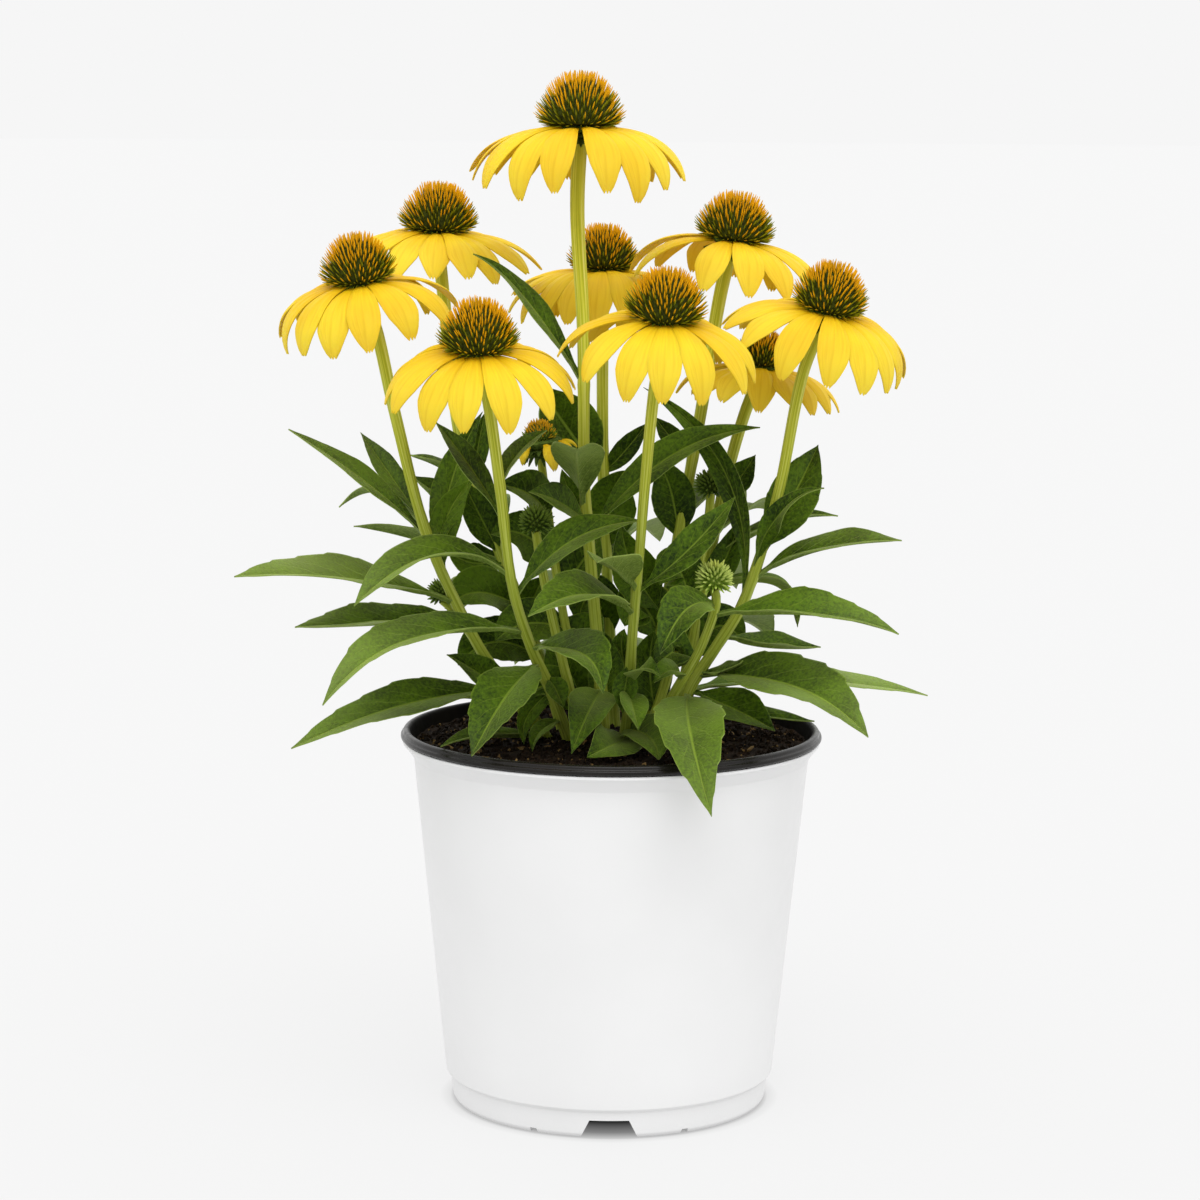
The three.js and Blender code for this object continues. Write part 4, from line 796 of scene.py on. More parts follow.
def leaf_paint(name, dark, light, vein, relief):
    """A leaf's side: side veins that arch forward from the midrib, over finely pebbled green, with a painted
    sheen where it is seen edge-on and painted light on the leaves far from the pot's axis.
    """
    paint = Paint(name, Roughness=0.52, Specular_IOR_Level=0.12, Subsurface_Weight=0.06,
                  Sheen_Weight=0.35, Sheen_Roughness=0.4, Sheen_Tint=tint(200, 218, 118),
                  Subsurface_Radius=(0.4, 1, 0.15), Subsurface_Scale=1.0 * MM)
    u, v = paint.uv()
    side = paint.maths("ABSOLUTE", paint.maths("MULTIPLY_ADD", u, 2.0, -1.0))
    wander = paint.maths("MULTIPLY", paint.grain(130, 2), 0.6)
    lean = paint.maths("MULTIPLY", paint.maths("POWER", side, 0.85), VEIN_LEAN)
    order = paint.maths("MULTIPLY_ADD", v, SIDE_VEINS, wander)
    wave = paint.maths("FRACT", paint.maths("SUBTRACT", order, lean))
    line = paint.maths("ABSOLUTE", paint.maths("SUBTRACT", wave, 0.5))
    side_veins = paint.range(line, 0.43, 0.5)
    fade = paint.range(side, 0.95, 0.3, 0, 0.42)
    midrib = paint.range(side, 0.07, 0.02)
    margin = paint.range(side, 0.94, 1.0, 0, 0.7)
    ribs = paint.maths("MAXIMUM", midrib, margin)
    veins = paint.maths("MAXIMUM", paint.maths("MULTIPLY", side_veins, fade), ribs)
    patches = paint.grain(35, 3)
    speckle = paint.grain(700, 3, 0.6)
    mottle = paint.maths("MULTIPLY_ADD", speckle, 0.6, paint.maths("MULTIPLY", patches, 0.6))
    color = paint.ramp(mottle, [(0.47, dark), (0.72, light)])
    color = paint.mix(paint.maths("MULTIPLY", veins, 0.62), color, vein)
    # Painted sheen: the colour is lightened towards a pale green where the leaf is seen edge-on
    glance = paint.node("ShaderNodeLayerWeight", {"Blend": 0.5}).outputs["Facing"]
    down = paint.maths("MULTIPLY", paint.maths("POWER", glance, 2.0), PAINTED_EDGE_SHEEN)
    # Painted light: leaves far from the pot's axis are lightened towards the same pale green
    near, far = (radius * MM for radius in OUTER_LEAVES)
    outer = paint.range(paint.away(), near, far, 0, OUTER_PAINTED_LIGHT)
    color = paint.mix(paint.maths("ADD", down, outer), color, tint(156, 178, 88))
    pebbles = paint.bump(paint.grain(850, 3, 0.6), 0.28)
    return paint.done(color, paint.bump(veins, relief, pebbles))


def ray_paint(name, root, middle, tip):
    """A ray's side: warm and darker at the root, partly the ray's own deeper yellow and partly painted shade
    under the cone, with faint lines that run its whole length.
    """
    paint = Paint(name, Roughness=0.55, Specular_IOR_Level=0.08, Subsurface_Weight=0.4,
                  Subsurface_Radius=(1, 0.75, 0.12), Subsurface_Scale=2 * MM)
    u, v = paint.uv()
    lane = paint.maths("MULTIPLY_ADD", u, RAY_LINES, paint.maths("MULTIPLY", paint.grain(50, 2), 0.8))
    lines = paint.grain(1.6, 2, 0.5, paint.join(lane, paint.maths("MULTIPLY", v, 1.2)))
    # Darker at the root: partly the ray's own tone, partly painted shade where the cone and the rays overlap
    base = paint.ramp(v, [(0.08, root), (0.42, middle), (0.95, tip)])
    shade = paint.ramp(lines, [(0.3, tint(232, 216, 190)), (0.6, tint(255, 255, 255))])
    warmth = paint.ramp(paint.grain(38, 1), [(0.35, tint(244, 226, 196)), (0.65, tint(255, 255, 255))])
    color = paint.mix(0.55, paint.mix(0.5, base, shade, "MULTIPLY"), warmth, "MULTIPLY")
    return paint.done(color, paint.bump(lines, 0.12))


def mottled(name, dark, light):
    """A rough speckled skin, for the cones' cores, the bracts and the buds."""
    paint = Paint(name, Roughness=0.8, Specular_IOR_Level=0.1)
    color = paint.ramp(paint.grain(600, 3), [(0.35, dark), (0.7, light)])
    return paint.done(color, paint.bump(paint.grain(900, 3), 0.4))


def bristle_paint(name, root, low_tip, mid_tip, high_tip, crown_tip):
    """Bristles dark at the root and bright at the tip, the tips in the crown's middle the greenest."""
    paint = Paint(name, Roughness=0.5, Specular_IOR_Level=0.12)
    crown, along = paint.uv()
    tips = paint.ramp(crown, [(0.04, low_tip), (0.14, mid_tip), (0.4, high_tip), (0.86, high_tip),
                              (0.98, crown_tip)])
    blush = paint.range(crown, 0.0, 0.75, 0.68, 0.42)
    rise = paint.maths("SUBTRACT", along, blush)
    ripe = paint.range(rise, -0.16, 0.16)
    patches = paint.range(paint.grain(220, 2), 0.35, 0.7, 0.8, 1.12)
    shade = paint.ramp(patches, [(0, (0, 0, 0, 1)), (1, (1, 1, 1, 1))])
    color = paint.mix(1.0, paint.mix(ripe, root, tips), shade, "MULTIPLY")
    return paint.done(color, paint.bump(paint.grain(2400, 2), 0.1))


# The pot

def cutter(points):
    """A closed block between two like outlines, the first and second half of its points."""
    count = len(points) // 2
    around = list(range(count))
    faces = [(side, (side + 1) % count, (side + 1) % count + count, side + count) for side in around]
    faces += [tuple(reversed(around)), tuple(side + count for side in around)]
    mesh = bpy.data.meshes.new("cutter")
    mesh.from_pydata([point * MM for point in points], [], faces)
    made = bpy.data.objects.new("cutter", mesh)
    bpy.context.scene.collection.objects.link(made)
    return made


def notch_cutter(shape, angle):
    """A block with sloping ends that reaches out through the foot."""
    ends = [(-shape["bottom"] / 2, -1), (shape["bottom"] / 2, -1), (shape["top"] / 2, shape["height"]),
            (-shape["top"] / 2, shape["height"])]
    turn = Matrix.Rotation(math.radians(angle), 3, "Z")
    middle = FOOT_OUTSIDE[0][0]
    depths = (-middle + NOTCH_REACH / 2, -middle - NOTCH_REACH / 2)
    return cutter([turn @ Vector((x, y, z)) for y in depths for x, z in ends])


def drain_cutter(angle):
    """An upright rod where a drainage hole goes through the floor."""
    turn = math.radians(angle)
    centre = Vector((math.cos(turn), math.sin(turn), 0)) * DRAIN_CIRCLE
    steps = [2 * math.pi * side / DRAIN_SIDES for side in range(DRAIN_SIDES)]
    return cutter([centre + Vector((DRAIN_RADIUS * math.cos(step), DRAIN_RADIUS * math.sin(step), z))
                   for z in (FLOOR_HEIGHT - DRAIN_BELOW, FLOOR_HEIGHT + DRAIN_ABOVE) for step in steps])


def carve(piece, cutters):
    """Cuts shapes out of a piece and takes the cutters away."""
    bpy.context.view_layer.objects.active = piece
    for tool in cutters:
        cut = piece.modifiers.new("cut", "BOOLEAN")
        cut.operation = "DIFFERENCE"
        cut.solver = "EXACT"
        cut.object = tool
        bpy.ops.object.modifier_apply(modifier=cut.name)
        bpy.data.objects.remove(tool)
    piece.data.shade_smooth()
    piece.data.set_sharp_from_angle(angle=CUT_SHARP)


def inner_line(distance):
    """The wall's line, some distance inside its outer face, from the top down."""
    return [[radius - distance, height] for radius, height in reversed(WALL_OUTSIDE)]


def pot_wall():
    """The white outer pot: foot with its notches, groove, tapering wall and flange."""
    floor_top = FLOOR_HEIGHT + SKIN
    skin = Skin()
    turned(skin, rounded([
        *FOOT_OUTSIDE, *WALL_OUTSIDE, *FLANGE, [FLANGE_NECK, FLANGE[-1][1]], *inner_line(SKIN),
        [FLOOR_RADIUS, floor_top], [0, floor_top], [0, FLOOR_HEIGHT], [FOOT_INSIDE, FLOOR_HEIGHT],
        [FOOT_INSIDE, 0],
    ]))
    piece = skin.piece("white_pot", [white_plastic()], "pot_wall", "white_plastic")
    cutters = [drain_cutter(angle) for angle in DRAIN_ANGLES]
    for angle in NOTCH_ANGLES:
        cutters.append(notch_cutter(BIG_NOTCH, angle))
        cutters.append(notch_cutter(SMALL_NOTCH, angle + SMALL_NOTCH_OFFSET))
        cutters.append(notch_cutter(SMALL_NOTCH, angle - SMALL_NOTCH_OFFSET))
    carve(piece, cutters)


def pot_liner():
    """The charcoal inner pot, whose rolled rim has two beads with a groove between them."""
    floor = FLOOR_HEIGHT + SKIN + CLEARANCE
    outside = list(reversed(inner_line(SKIN + CLEARANCE)))
    skin = Skin()
    turned(skin, rounded([
        [0, floor], [FLOOR_RADIUS - CLEARANCE, floor], *outside, [LINER_NECK, RIM_SECTION[0][1]],
        *RIM_SECTION, *inner_line(2 * SKIN + CLEARANCE), [FLOOR_RADIUS - CLEARANCE - SKIN, floor + SKIN],
        [0, floor + SKIN],
    ], 0.6))
    piece = skin.piece("charcoal_liner", [charcoal_plastic()], "pot_liner", "black_plastic")
    carve(piece, [drain_cutter(angle) for angle in DRAIN_ANGLES])


def mix_height(x, y):
    """The height of the potting mix at a place."""
    share = math.hypot(x, y) / MIX_RADIUS
    place = Vector((x, y, 0))
    lumps = noise.noise(place / MIX_LUMP_SPREAD) + 0.5 * noise.noise(place / FINE_LUMP_SPREAD)
    return MIX_HEIGHT + MIX_MOUND * (1 - share * share) + MIX_LUMP * lumps


def scatter(skin, chance, count, sizes, flatness, look, sink):
    """Small warped blocks lying about on the mix."""
    box = np.array([[x, y, z] for z in (-1, 1) for y in (-1, 1) for x in (-1, 1)], float)
    sides = [(0, 1, 3, 2), (4, 6, 7, 5), (0, 4, 5, 1), (2, 3, 7, 6), (0, 2, 6, 4), (1, 5, 7, 3)]
    for _ in range(count):
        away = (MIX_RADIUS - BARE_BRIM) * math.sqrt(chance.random())
        angle = chance.uniform(0, 2 * math.pi)
        x = away * math.cos(angle)
        y = away * math.sin(angle)
        size = chance.uniform(*sizes) / 2
        shape = np.array([size, size * flatness[0], size * flatness[1]])
        warp = np.array([[chance.uniform(*BIT_WARP) for _ in range(3)] for _ in range(8)])
        tilt = 0.35 if flatness[0] < FLAT_BIT else 3
        turn = Euler((chance.uniform(-tilt, tilt), chance.uniform(-tilt, tilt), chance.uniform(0, 6.3)))
        corners = (box * shape * warp) @ np.array(turn.to_matrix()).T
        corners += [x, y, mix_height(x, y) + shape[2] * sink]
        for side in sides:
            a, b, c, d = corners[list(side)]
            skin.net([[a, b], [d, c]], look)


def potting_mix():
    """Damp peat, lumpy and slightly mounded, with crumbs and bits of bark on it."""
    chance = random.Random(MIX_SEED)
    skin = Skin()
    radii = np.linspace(MIX_RADIUS, 0, MIX_RINGS)
    rows = ring(radii, np.zeros(MIX_RINGS), MIX_SECTORS)
    for row in rows:
        for point in row:
            point[2] = mix_height(point[0], point[1])
    brim = np.array(rows[0])
    low = ring([MIX_SHOULDER[0], MIX_FLOOR_RADIUS, 0], [MIX_SHOULDER[1], MIX_FLOOR, MIX_FLOOR], MIX_SECTORS)
    skin.net(np.concatenate([low[::-1], brim[None], rows[1:]]))
    scatter(skin, chance, CRUMBS, CRUMB_SIZES, (0.9, 0.8), 0, 0.5)
    scatter(skin, chance, BARK_BITS, BARK_LENGTHS, (0.26, 0.2), 1, 1.0)
    scatter(skin, chance, PALE_BITS, PALE_SIZES, (0.8, 0.7), 1, 0.8)
    skin.piece("peat_and_bark", [peat(), bark()], "potting_mix", "potting_mix")


# Stems, leaves and buds

def smooth_line(path, steps=30):
    """A centripetal Catmull-Rom line through a path, carried down into the mix."""
    points = np.array(path, float)
    down = unit(points[0] - points[1]) * ROOT_DEPTH
    points = np.concatenate([[points[0] + down], points])
    points = np.concatenate([[2 * points[0] - points[1]], points, [2 * points[-1] - points[-2]]])
    share = np.linspace(0, 1, steps, endpoint=False)[:, None]
    line = []
    for before, start, end, after in zip(points, points[1:], points[2:], points[3:]):
        gaps = [math.sqrt(np.linalg.norm(far - near))
                for near, far in ((before, start), (start, end), (end, after))]
        leave = (start - before) / gaps[0] - (end - before) / (gaps[0] + gaps[1]) + (end - start) / gaps[1]
        reach = (end - start) / gaps[1] - (after - start) / (gaps[1] + gaps[2]) + (after - end) / gaps[2]
        leave = leave * gaps[1]
        reach = reach * gaps[1]
        line.append(start + leave * share + (3 * (end - start) - 2 * leave - reach) * share ** 2
                    + (2 * (start - end) + leave + reach) * share ** 3)
    return np.concatenate([*line, points[-2:-1]])


def stem_skin(skin, stem, line):
    """A ribbed stem, slightly swollen where each leaf leaves it."""
    steps = max(8, round(np.linalg.norm(line[-1] - line[0]) / STEM_STEP))
    share = np.linspace(0, 1, steps + 1)
    points, along = spaced(line, share)
    across = unit(np.cross(along, [0, 1, 0]))
    other = np.cross(along, across)
    girth = np.interp(share, [0, 0.5, 1], stem["girth"])
    for blade in stem["leaves"]:
        girth = girth * (1 + NODE_SWELLING * np.exp(-((points[:, 2] - blade[0]) / NODE_REACH) ** 2))
    angles = np.linspace(0, 2 * math.pi, STEM_COLUMNS * 2 + 1)
    ribs = 1 + RIB_DEPTH * np.cos(STEM_RIBS * angles)
    radii = girth[:, None] * ribs
    rows = (points[:, None] + across[:, None] * (radii * np.cos(angles))[..., None]
            + other[:, None] * (radii * np.sin(angles))[..., None])
    skin.net(rows)


def blade_outline(chance, share, width, kind):
    """How full a leaf is at shares of its length, and its half widths with their teeth."""
    start = BLADE_START[kind]
    out = np.clip((share - start) / (1 - start), 0, 1)
    swell, taper = BLADE_SHAPE[kind]
    crest = swell / (swell + taper)
    spread = (out / crest) ** swell * ((1 - out) / (1 - crest)) ** taper
    stalk = STALK_WIDTH / 2 * (1 - smoothstep(0.5, 1, share)) + STALK_END
    columns = np.array(LEAF_COLUMNS)
    half = np.sqrt(stalk ** 2 + (spread * width / 2) ** 2)[:, None] * np.ones(len(columns))
    bite = TOOTH_DEPTH[kind] * width / 2 * np.clip(spread * 1.6, 0, 1)
    for edge in (-1, 1):
        phase = chance.random()
        saw = ((out * TEETH[kind] + phase) % 1) ** 1.2 - 0.5
        half += np.where(columns * edge > 0, np.abs(columns) ** 7, 0) * (saw * bite)[:, None]
    return spread, half


def blade_relief(chance, share, spread, half, width):
    """How far a leaf is folded, and its lift: the fold, the ripple of the edges and the midrib's groove."""
    columns = np.array(LEAF_COLUMNS)
    side = np.abs(columns)
    fold = math.radians(chance.uniform(*LEAF_FOLD)) * np.clip(2 * spread + 0.3, 0, 1)[:, None]
    ridge = side * (1.3 - 0.4 * side)
    lift = (ridge - 0.5) * half * np.sin(fold)
    left, right = (
        LEAF_RIPPLE * width * spread * np.sin(share * chance.uniform(*RIPPLE_WAVES) + chance.uniform(0, 6))
        for _ in range(2))
    lift += side ** 2 * np.where(columns < 0, left[:, None], right[:, None])
    groove = np.exp(-(columns * half / GROOVE_WIDTH) ** 2) * smoothstep(0.02, 0.2, spread)[:, None]
    return fold, lift - MIDRIB_GROOVE * groove


def leaf(skin, chance, line, blade):
    """One leaf: a toothed blade folded along its midrib on a short stalk, arched through its middle."""
    height, middle, tip, width, facing, *outline = blade
    kind = outline[0] if outline else "plain"
    root = line[np.abs(line[:, 2] - height).argmin()]
    middle = np.array(middle, float)
    tip = np.array(tip, float)
    bend = 2 * middle - (root + tip) / 2
    fine = np.linspace(0, 1, 200)[:, None]
    share = np.linspace(0, 1, LEAF_ROWS)
    spine, along = spaced((1 - fine) ** 2 * root + 2 * fine * (1 - fine) * bend + fine ** 2 * tip, share)
    across = unit(np.cross(np.array(facing, float), along))
    up = np.cross(along, across)
    columns = np.array(LEAF_COLUMNS)
    spread, half = blade_outline(chance, share, width, kind)
    fold, lift = blade_relief(chance, share, spread, half, width)
    rib = STALK_DEPTH * (1 - 0.9 * smoothstep(0, 0.75, share))[:, None]
    depth = LEAF_THICKNESS + rib * np.clip(1 - (columns * half / MIDRIB_WIDTH) ** 2, 0, 1)
    sheet(skin, spine, across, up, half * np.cos(fold), columns, lift, depth, (1, 2), share)


def cup(skin, chance, at, turn):
    """The green cup under a bloom, with two whorls of narrow bracts that bend back."""
    profile = rounded(CUP_PROFILE, 0.8, closed=False)
    rows = ring(*zip(*profile), CUP_SIDES)
    skin.net(rows @ turn.T + at, 3)
    share = np.linspace(0, 1, BRACT_ROWS)
    columns = np.linspace(-1, 1, BRACT_COLUMNS)
    zero = np.zeros(BRACT_ROWS)
    for whorl in range(WHORLS):
        for number in range(BRACTS):
            angle = 2 * math.pi * (number + whorl / 2 + chance.uniform(-0.12, 0.12)) / BRACTS
            length = BRACT_LENGTH * chance.uniform(0.85, 1.15) * (1 - 0.15 * whorl)
            droop = (math.radians(BRACT_DROOP + WHORL_DROOP * whorl)
                     + share * math.radians(chance.uniform(*BRACT_CURL)))
            step = length / (BRACT_ROWS - 1)
            inner, top = (start - drop * whorl for start, drop in zip(BRACT_ROOT, WHORL_STEP))
            reach = inner + np.append(0, np.cumsum(np.cos(droop[:-1]) * step))
            height = top - np.append(0, np.cumsum(np.sin(droop[:-1]) * step))
            place = turn @ spin(angle)
            spine = np.stack([reach, zero, height], 1) @ place.T + at
            up = np.stack([np.sin(droop), zero, np.cos(droop)], 1) @ place.T
            across = np.stack([zero, zero + 1, zero], 1) @ place.T
            half = (BRACT_WIDTH / 2 * (1 - share) ** 0.7 + 0.1)[:, None] * np.ones(BRACT_COLUMNS)
            lift = -0.25 * half * (1 - np.abs(columns))
            depth = np.full_like(lift, 0.5)
            sheet(skin, spine, across, up, half, columns, lift, depth, (3, 3), share)


def bud(skin, chance, stem):
    """A closed green bud: a ball of short pointed bristles."""
    radius = stem["bud"]["radius"]
    length = stem["bud"]["bristle"] * BUD_BRISTLE_STRETCH
    core = radius - length * 0.62
    centre = np.array(stem["path"][-1], float) + [0, 0, radius * 0.6]
    tilts = np.linspace(-math.pi / 2, math.pi / 2, BUD_RINGS)
    skin.net(ring(core * np.cos(tilts), core * np.sin(tilts), BUD_SIDES) + centre, 4)
    for number in range(BUD_BRISTLES):
        level = 1 - BUD_FOOT * (number + 0.5) / BUD_BRISTLES
        level += chance.uniform(-0.015, 0.015)
        flat = math.sqrt(max(0, 1 - level * level))
        angle = number * GOLDEN_ANGLE
        out = np.array([flat * math.cos(angle), flat * math.sin(angle), level])
        direction = unit(out + np.array([0, 0, 0.35 * (1 - abs(level))]))
        root = centre + out * (core - BUD_BRISTLE_SINK)
        reach = (length + BUD_BRISTLE_SINK) * chance.uniform(0.85, 1.1)
        bristle(skin, root, direction, reach, BUD_BRISTLE_RADIUS, 5, (level + 1) / 2)


def leafy_stem(name, stem, bloom, paints):
    """A stem with its leaves and what stands on its end."""
    chance = random.Random(name)
    skin = Skin()
    line = smooth_line(stem["path"])
    stem_skin(skin, stem, line)
    for blade in stem["leaves"]:
        leaf(skin, chance, line, blade)
    if bloom:
        cup(skin, chance, np.array(bloom["at"], float), head_turn(bloom["axis"]))
        skin.piece(f"{name}_stem_and_leaves", paints, f"{name}_leafy_stem", "green_leaf")
    else:
        bud(skin, chance, stem)
        skin.piece(f"{name}_and_leaves", paints, name, "green_leaf")


# Blooms

def rays(name, bloom, paints):
    """The rays of a bloom, grown out of a small disc, each with a toothed tip and a slight twist."""
    chance = random.Random(name + "rays")
    at = np.array(bloom["at"], float)
    turn = head_turn(bloom["axis"])
    skin = Skin()
    disc = [[0, -0.05], [COLLAR_RADIUS - 0.6, -0.05], [COLLAR_RADIUS + 0.4, -0.9],
            [COLLAR_RADIUS - 0.4, -COLLAR_THICKNESS], [0, -COLLAR_THICKNESS]]
    skin.net(ring(*zip(*disc), CONE_SIDES) @ turn.T + at, 2)
    ordered = sorted(bloom["rays"])
    count = len(ordered)
    for number, shape in enumerate(ordered):
        gaps = [(ordered[(number + step) % count][0] - ordered[(number + step - 1) % count][0]) % 360
                for step in (1, 0)]
        ray(skin, chance, shape, gaps, number, turn, at)
    skin.piece(f"{name}_petals", paints, f"{name}_rays", "yellow_ray")


def ray_outline(share, columns, reach, length, gaps):
    """A ray's half widths, kept within the room that its neighbours leave."""
    width = RAY_WIDTH * min(1, length / SMALL_RAY_LENGTH)
    spread = through(RAY_SPREAD, share) * width / 2
    room = [reach * math.tan(math.radians(gap / 2)) * RAY_OVERLAP for gap in gaps]
    return np.where(columns > 0, *(np.minimum(spread, limit)[:, None] for limit in room))


def ray_tip(chance, share, columns):
    """How far the lobes at a ray's tip reach out."""
    lobes = chance.uniform(*TIP_LOBES)
    teeth = np.abs(np.cos(math.pi * (lobes * columns + chance.uniform(-0.25, 0.25))))
    teeth = TIP_TEETH * teeth * chance.uniform(0.6, 1.1)
    return smoothstep(TIP_START, 1, share)[:, None] * teeth


def ray(skin, chance, shape, gaps, number, turn, at):
    """One ray: it leaves the disc nearly level, then droops, with its long edges turned down."""
    way, length, tip_droop = shape
    length = length - TIP_TEETH / 2
    share = np.linspace(0, 1, RAY_ROWS)
    columns = np.linspace(-1, 1, RAY_COLUMNS)
    droop = math.radians(tip_droop) * share ** RAY_CURL
    middles = math.radians(tip_droop) * ((share[1:] + share[:-1]) / 2) ** RAY_CURL
    steps = np.diff(share) * length
    reach = COLLAR_RADIUS + np.append(0, np.cumsum(steps * np.cos(middles)))
    height = -COLLAR_THICKNESS / 2 - np.append(0, np.cumsum(steps * np.sin(middles)))
    height += RAY_LAP * (number % 3 - 1) * (1 - 0.3 * share)
    half = ray_outline(share, columns, reach, length, gaps)
    twist = math.radians(chance.uniform(-RAY_TWIST, RAY_TWIST)) * share
    zero = np.zeros(RAY_ROWS)
    spine = np.stack([reach, zero, height], 1)
    along = np.stack([np.cos(droop), zero, -np.sin(droop)], 1)
    level = np.stack([zero, zero + 1, zero], 1)
    above = np.stack([np.sin(droop), zero, np.cos(droop)], 1)
    across = level * np.cos(twist)[:, None] + above * np.sin(twist)[:, None]
    up = above * np.cos(twist)[:, None] - level * np.sin(twist)[:, None]
    crown = RAY_CROWN * chance.uniform(0.4, 1.4) * np.sin(share * math.pi * 0.8 + 0.25)
    lift = -crown[:, None] * columns ** 2
    lift = lift + RAY_RIDGE * np.cos(3 * math.pi * columns) * np.sin(share * math.pi * 0.9 + 0.1)[:, None]
    depth = np.full_like(lift, RAY_THICKNESS)
    push = ray_tip(chance, share, columns)[..., None] * along[:, None]
    place = turn @ spin(math.radians(way))
    sheet(skin, spine @ place.T + at, across @ place.T, up @ place.T, half, columns, lift, depth, (0, 1),
          share, push @ place.T)


def cone_outline(radius, height):
    """Shares of a cone's outline from its foot, and how far out and how high it is there."""
    line = np.array([[out * radius, up * height] for up, out in CONE_OUTLINE])
    lengths = np.append(0, np.cumsum(np.linalg.norm(np.diff(line, axis=0), axis=1)))
    fine = np.linspace(0, 1, CONE_STEPS)
    out, rise = (np.interp(fine * lengths[-1], lengths, line[:, side]) for side in (0, 1))
    return fine, out, rise


def lie(share, scale):
    """A bristle's direction as (outward, upward), and its length, at a share of the cone's outline."""
    low, high = BRISTLE_ELEVATIONS
    tilt = math.radians(low + (high - low) * share ** BRISTLE_RISE)
    near, far = BRISTLE_LENGTHS
    return math.cos(tilt), math.sin(tilt), (near + (far - near) * share) * scale


def cone_core(fine, out, rise, scale):
    """The profile of the core that the bristles stand on."""
    core = [[0, 0]]
    for share in np.linspace(0, 1, CORE_RINGS):
        outward, upward, length = lie(share, scale)
        edge = np.interp(share, fine, out) - outward * length * CORE_DEPTH
        top = np.interp(share, fine, rise) - upward * length * CORE_DEPTH
        core.append([max(edge, 0), max(top, 0)])
    core[-1][0] = 0
    return core


def cone(name, bloom, paints, slot, count):
    """A bristly cone: a dark core under bristles that lean outwards below and stand up in the crown."""
    chance = random.Random(name + "cone")
    radius, height = bloom["cone"]
    scale = radius / LARGEST_CONE
    at = np.array(bloom["at"], float)
    turn = head_turn(bloom["axis"])
    skin = Skin()
    fine, out, rise = cone_outline(radius, height)
    skin.net(ring(*zip(*cone_core(fine, out, rise, scale)), CONE_SIDES) @ turn.T + at, 0)
    crowding = out * (1 + (CROWN_CROWDING - 1) * fine)
    total = np.cumsum(crowding) / crowding.sum()
    for number in range(count):
        share = float(np.interp((number + 0.5) / count, total, fine))
        share = min(1, max(0, share + chance.uniform(-0.012, 0.012)))
        outward, upward, length = lie(share, scale)
        angle = number * GOLDEN_ANGLE + chance.uniform(-0.05, 0.05)
        length = length * chance.uniform(0.88, 1.1)
        flat = np.array([math.cos(angle), math.sin(angle), 0])
        direction = flat * outward + np.array([0, 0, upward])
        sway = np.array([chance.uniform(-BRISTLE_SWAY, BRISTLE_SWAY) for _ in range(3)])
        tip = flat * np.interp(share, fine, out) + [0, 0, np.interp(share, fine, rise)]
        root = tip - direction * length
        tip = tip + direction * chance.uniform(-TIP_SCATTER, TIP_SCATTER) * (1 - 0.6 * share)
        root[2] = max(root[2], 0.2)
        direction = unit(tip - root + sway)
        length = np.linalg.norm(tip - root)
        ripeness = share + chance.uniform(-0.05, 0.05)
        if share < GREEN_TIP_REACH and chance.random() < GREEN_TIP_SHARE * (1 - share):
            ripeness = 0
        bristle(skin, turn @ root + at, turn @ direction, length, BRISTLE_RADIUS, 1, ripeness)
    skin.piece(f"{name}_bristles", paints, f"{name}_cone", slot)


# The plant

def plant():
    """All stems, leaves, blooms and buds."""
    stem = stem_green()
    upper = leaf_paint("leaf_upper_side", tint(22, 42, 0), tint(80, 108, 12), tint(132, 156, 50), -0.35)
    under = leaf_paint("leaf_underside", tint(70, 90, 24), tint(118, 138, 58), tint(154, 170, 88), 0.4)
    bract = mottled("bract_green", tint(52, 72, 20), tint(92, 112, 44))
    bud_core = mottled("bud_core", tint(100, 128, 40), tint(146, 168, 66))
    bud_bristle = bristle_paint("bud_bristle", tint(112, 142, 36), tint(148, 178, 62), tint(168, 192, 78),
                                tint(192, 208, 108), tint(196, 206, 96))
    greens = [stem, upper, under, bract, bud_core, bud_bristle]
    # Painted shade: darker copies of the bud paints for the buds deep among the leaves; the darker core is
    # also the young bloom's own cone colour
    young_and_shaded_core = mottled("young_cone_and_shaded_bud_core", tint(58, 74, 22), tint(96, 110, 40))
    shaded_bristle = bristle_paint("painted_shade_bud_bristle", tint(60, 84, 22), tint(88, 112, 34), tint(96, 120, 40),
                                 tint(106, 128, 46), tint(110, 130, 44))
    shaded_bud_greens = [stem, upper, under, bract, young_and_shaded_core, shaded_bristle]
    ray_top = ray_paint("ray_upper_side", tint(209, 168, 12), tint(224, 190, 36), tint(227, 199, 58))
    ray_under = ray_paint("ray_underside", tint(180, 146, 12), tint(202, 170, 26), tint(212, 184, 44))
    petals = [ray_top, ray_under, bract]
    core = mottled("cone_core", tint(34, 38, 4), tint(64, 70, 12))
    bristles = bristle_paint("cone_bristle", tint(72, 78, 2), tint(136, 138, 18), tint(226, 186, 30),
                             tint(234, 172, 8), tint(206, 160, 24))
    young_bristle = bristle_paint("young_cone_bristle", tint(74, 92, 20), tint(130, 150, 40),
                                  tint(200, 170, 40), tint(224, 170, 30), tint(190, 170, 40))
    for name, bloom in BLOOMS.items():
        leafy_stem(name, PLANT[name], bloom, greens)
        rays(name, bloom, petals)
        cone(name, bloom, [core, bristles], "brown_cone", BRISTLES)
    leafy_stem("young_bloom", PLANT["young_bloom"], YOUNG_BLOOM, greens)
    rays("young_bloom", YOUNG_BLOOM, petals)
    cone("young_bloom", YOUNG_BLOOM, [young_and_shaded_core, young_bristle], "young_cone", YOUNG_BRISTLES)
    # Only one bud takes the lighter paints; the others take the painted-shade copies
    for name, shoot in SHOOTS.items():
        leafy_stem(name, shoot, None, greens if name == LIT_BUD_SHOOT else shaded_bud_greens)


# The studio

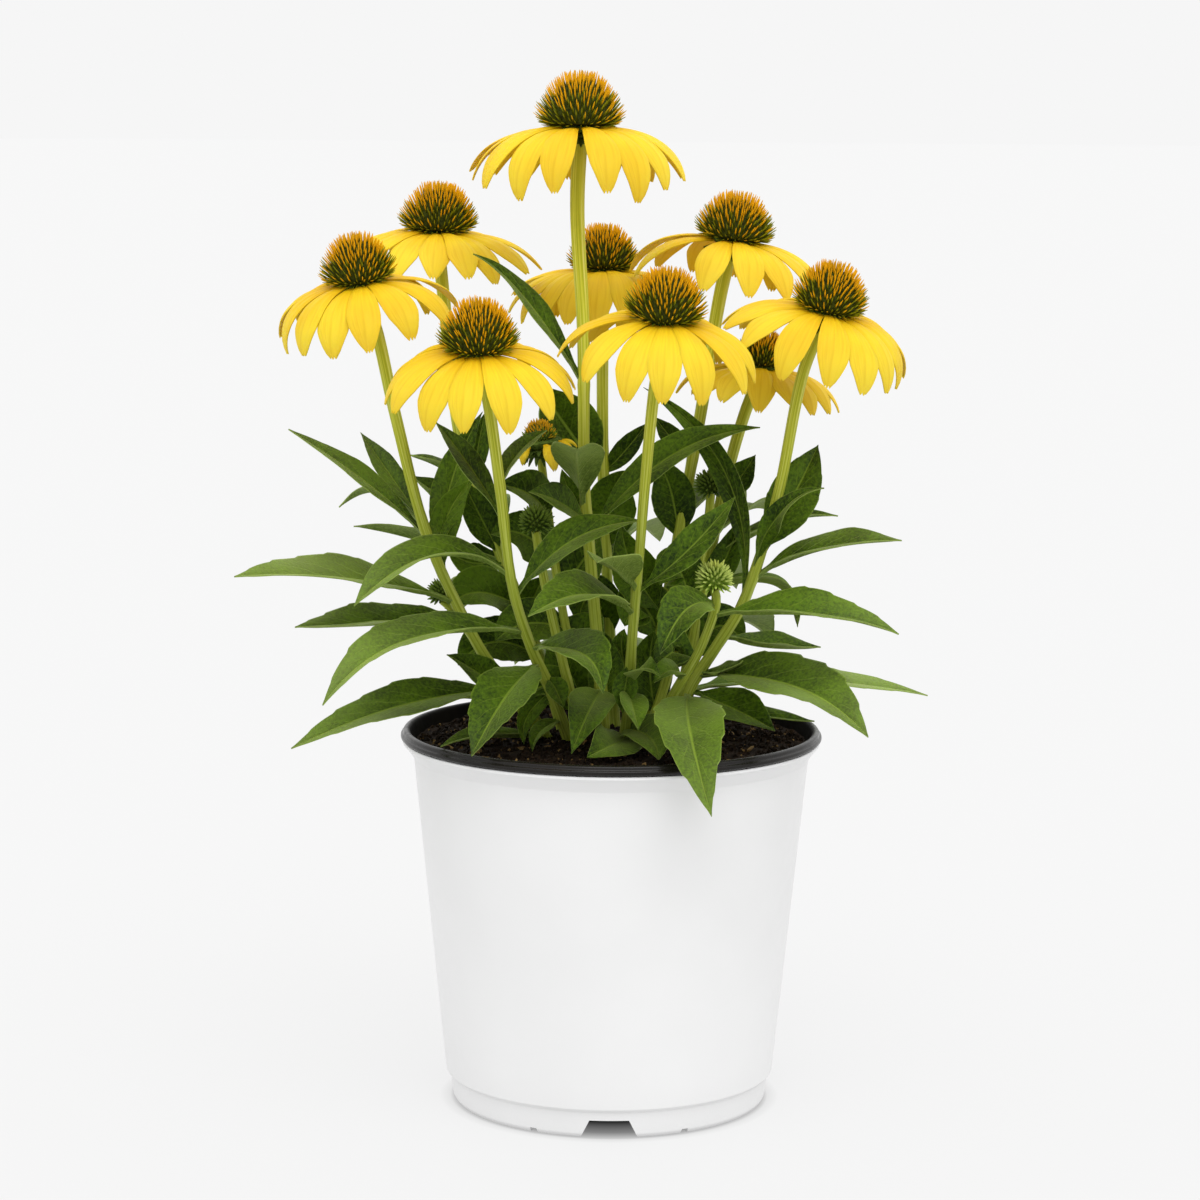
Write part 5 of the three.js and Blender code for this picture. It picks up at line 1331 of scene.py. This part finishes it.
def floor():
    """A wide pale floor that glows faintly, with a painted contact shadow: its glow and colour fade to dark
    under the pot.
    """
    skin = Skin()
    skin.net(ring(FLOOR_RINGS, [-FLOOR_DROP] * len(FLOOR_RINGS), 64))
    mesh = bpy.data.meshes.new("studio_floor")
    mesh.from_pydata(np.concatenate(skin.points) * MM, [], np.concatenate(skin.faces))
    weld(mesh)
    paint = Paint("glowing_floor_with_painted_shadow", Roughness=1.0, Specular_IOR_Level=0.0, Emission_Color=(1, 1, 1, 1))
    # Painted shadow: the floor's glow and colour fade to dark under the pot and round its foot
    reach = PAINTED_FLOOR_SHADOW[-1][0]
    share = paint.maths("DIVIDE", paint.away(), reach * MM)
    fade = paint.ramp(share, [(radius / reach, (level, level, level, 1)) for radius, level in PAINTED_FLOOR_SHADOW])
    paint.feed("Base Color", paint.mix(1.0, fade, (*[FLOOR_SHADE] * 3, 1), "MULTIPLY"))
    paint.feed("Emission Strength", paint.maths("MULTIPLY", fade, FLOOR_GLOW))
    mesh.materials.append(paint.material)
    made = bpy.data.objects.new("studio_floor", mesh)
    bpy.context.scene.collection.objects.link(made)


def sky():
    """Even light from all round, stronger from above."""
    world = bpy.data.worlds.new("studio_light")
    world.use_nodes = True
    bpy.context.scene.world = world
    tree = world.node_tree
    where = tree.nodes.new("ShaderNodeTexCoord")
    split = tree.nodes.new("ShaderNodeSeparateXYZ")
    climb = tree.nodes.new("ShaderNodeMapRange")
    for socket, value in enumerate([*LIGHT_CLIMB, HORIZON_LIGHT, OVERHEAD_LIGHT], 1):
        climb.inputs[socket].default_value = value
    tree.links.new(where.outputs["Generated"], split.inputs[0])
    tree.links.new(split.outputs[2], climb.inputs[0])
    background = tree.nodes["Background"]
    tree.links.new(climb.outputs[0], background.inputs["Strength"])
    background.inputs["Color"].default_value = (1, 1, 1, 1)


def lamp(name, strength, softness, way):
    """A far soft light that shines the given way."""
    light = bpy.data.lights.new(name, "SUN")
    light.energy = strength
    light.angle = math.radians(softness)
    made = bpy.data.objects.new(name, light)
    made.rotation_mode = "QUATERNION"
    made.rotation_quaternion = Vector(way).to_track_quat("-Z", "Y")
    bpy.context.scene.collection.objects.link(made)


def camera():
    """The photograph's own view: slightly from above, and level to within half a degree."""
    data = bpy.data.cameras.new("photo_camera")
    data.lens = LENS
    data.sensor_width = SENSOR
    data.clip_start = 0.05
    data.clip_end = 200
    made = bpy.data.objects.new("photo_camera", data)
    bpy.context.scene.collection.objects.link(made)
    pitch = Matrix.Rotation(math.radians(90 - CAMERA_PITCH), 4, "X")
    roll = Matrix.Rotation(math.radians(CAMERA_ROLL), 4, "Z")
    made.matrix_world = Matrix.Translation(Vector(CAMERA_PLACE) * MM) @ pitch @ roll
    bpy.context.scene.camera = made


def main():
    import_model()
    bpy.context.scene.view_settings.view_transform = "Standard"
    pot_wall()
    pot_liner()
    potting_mix()
    plant()
    floor()
    sky()
    lamp("key_light", KEY_STRENGTH, KEY_SOFTNESS, KEY_WAY)
    camera()


main()
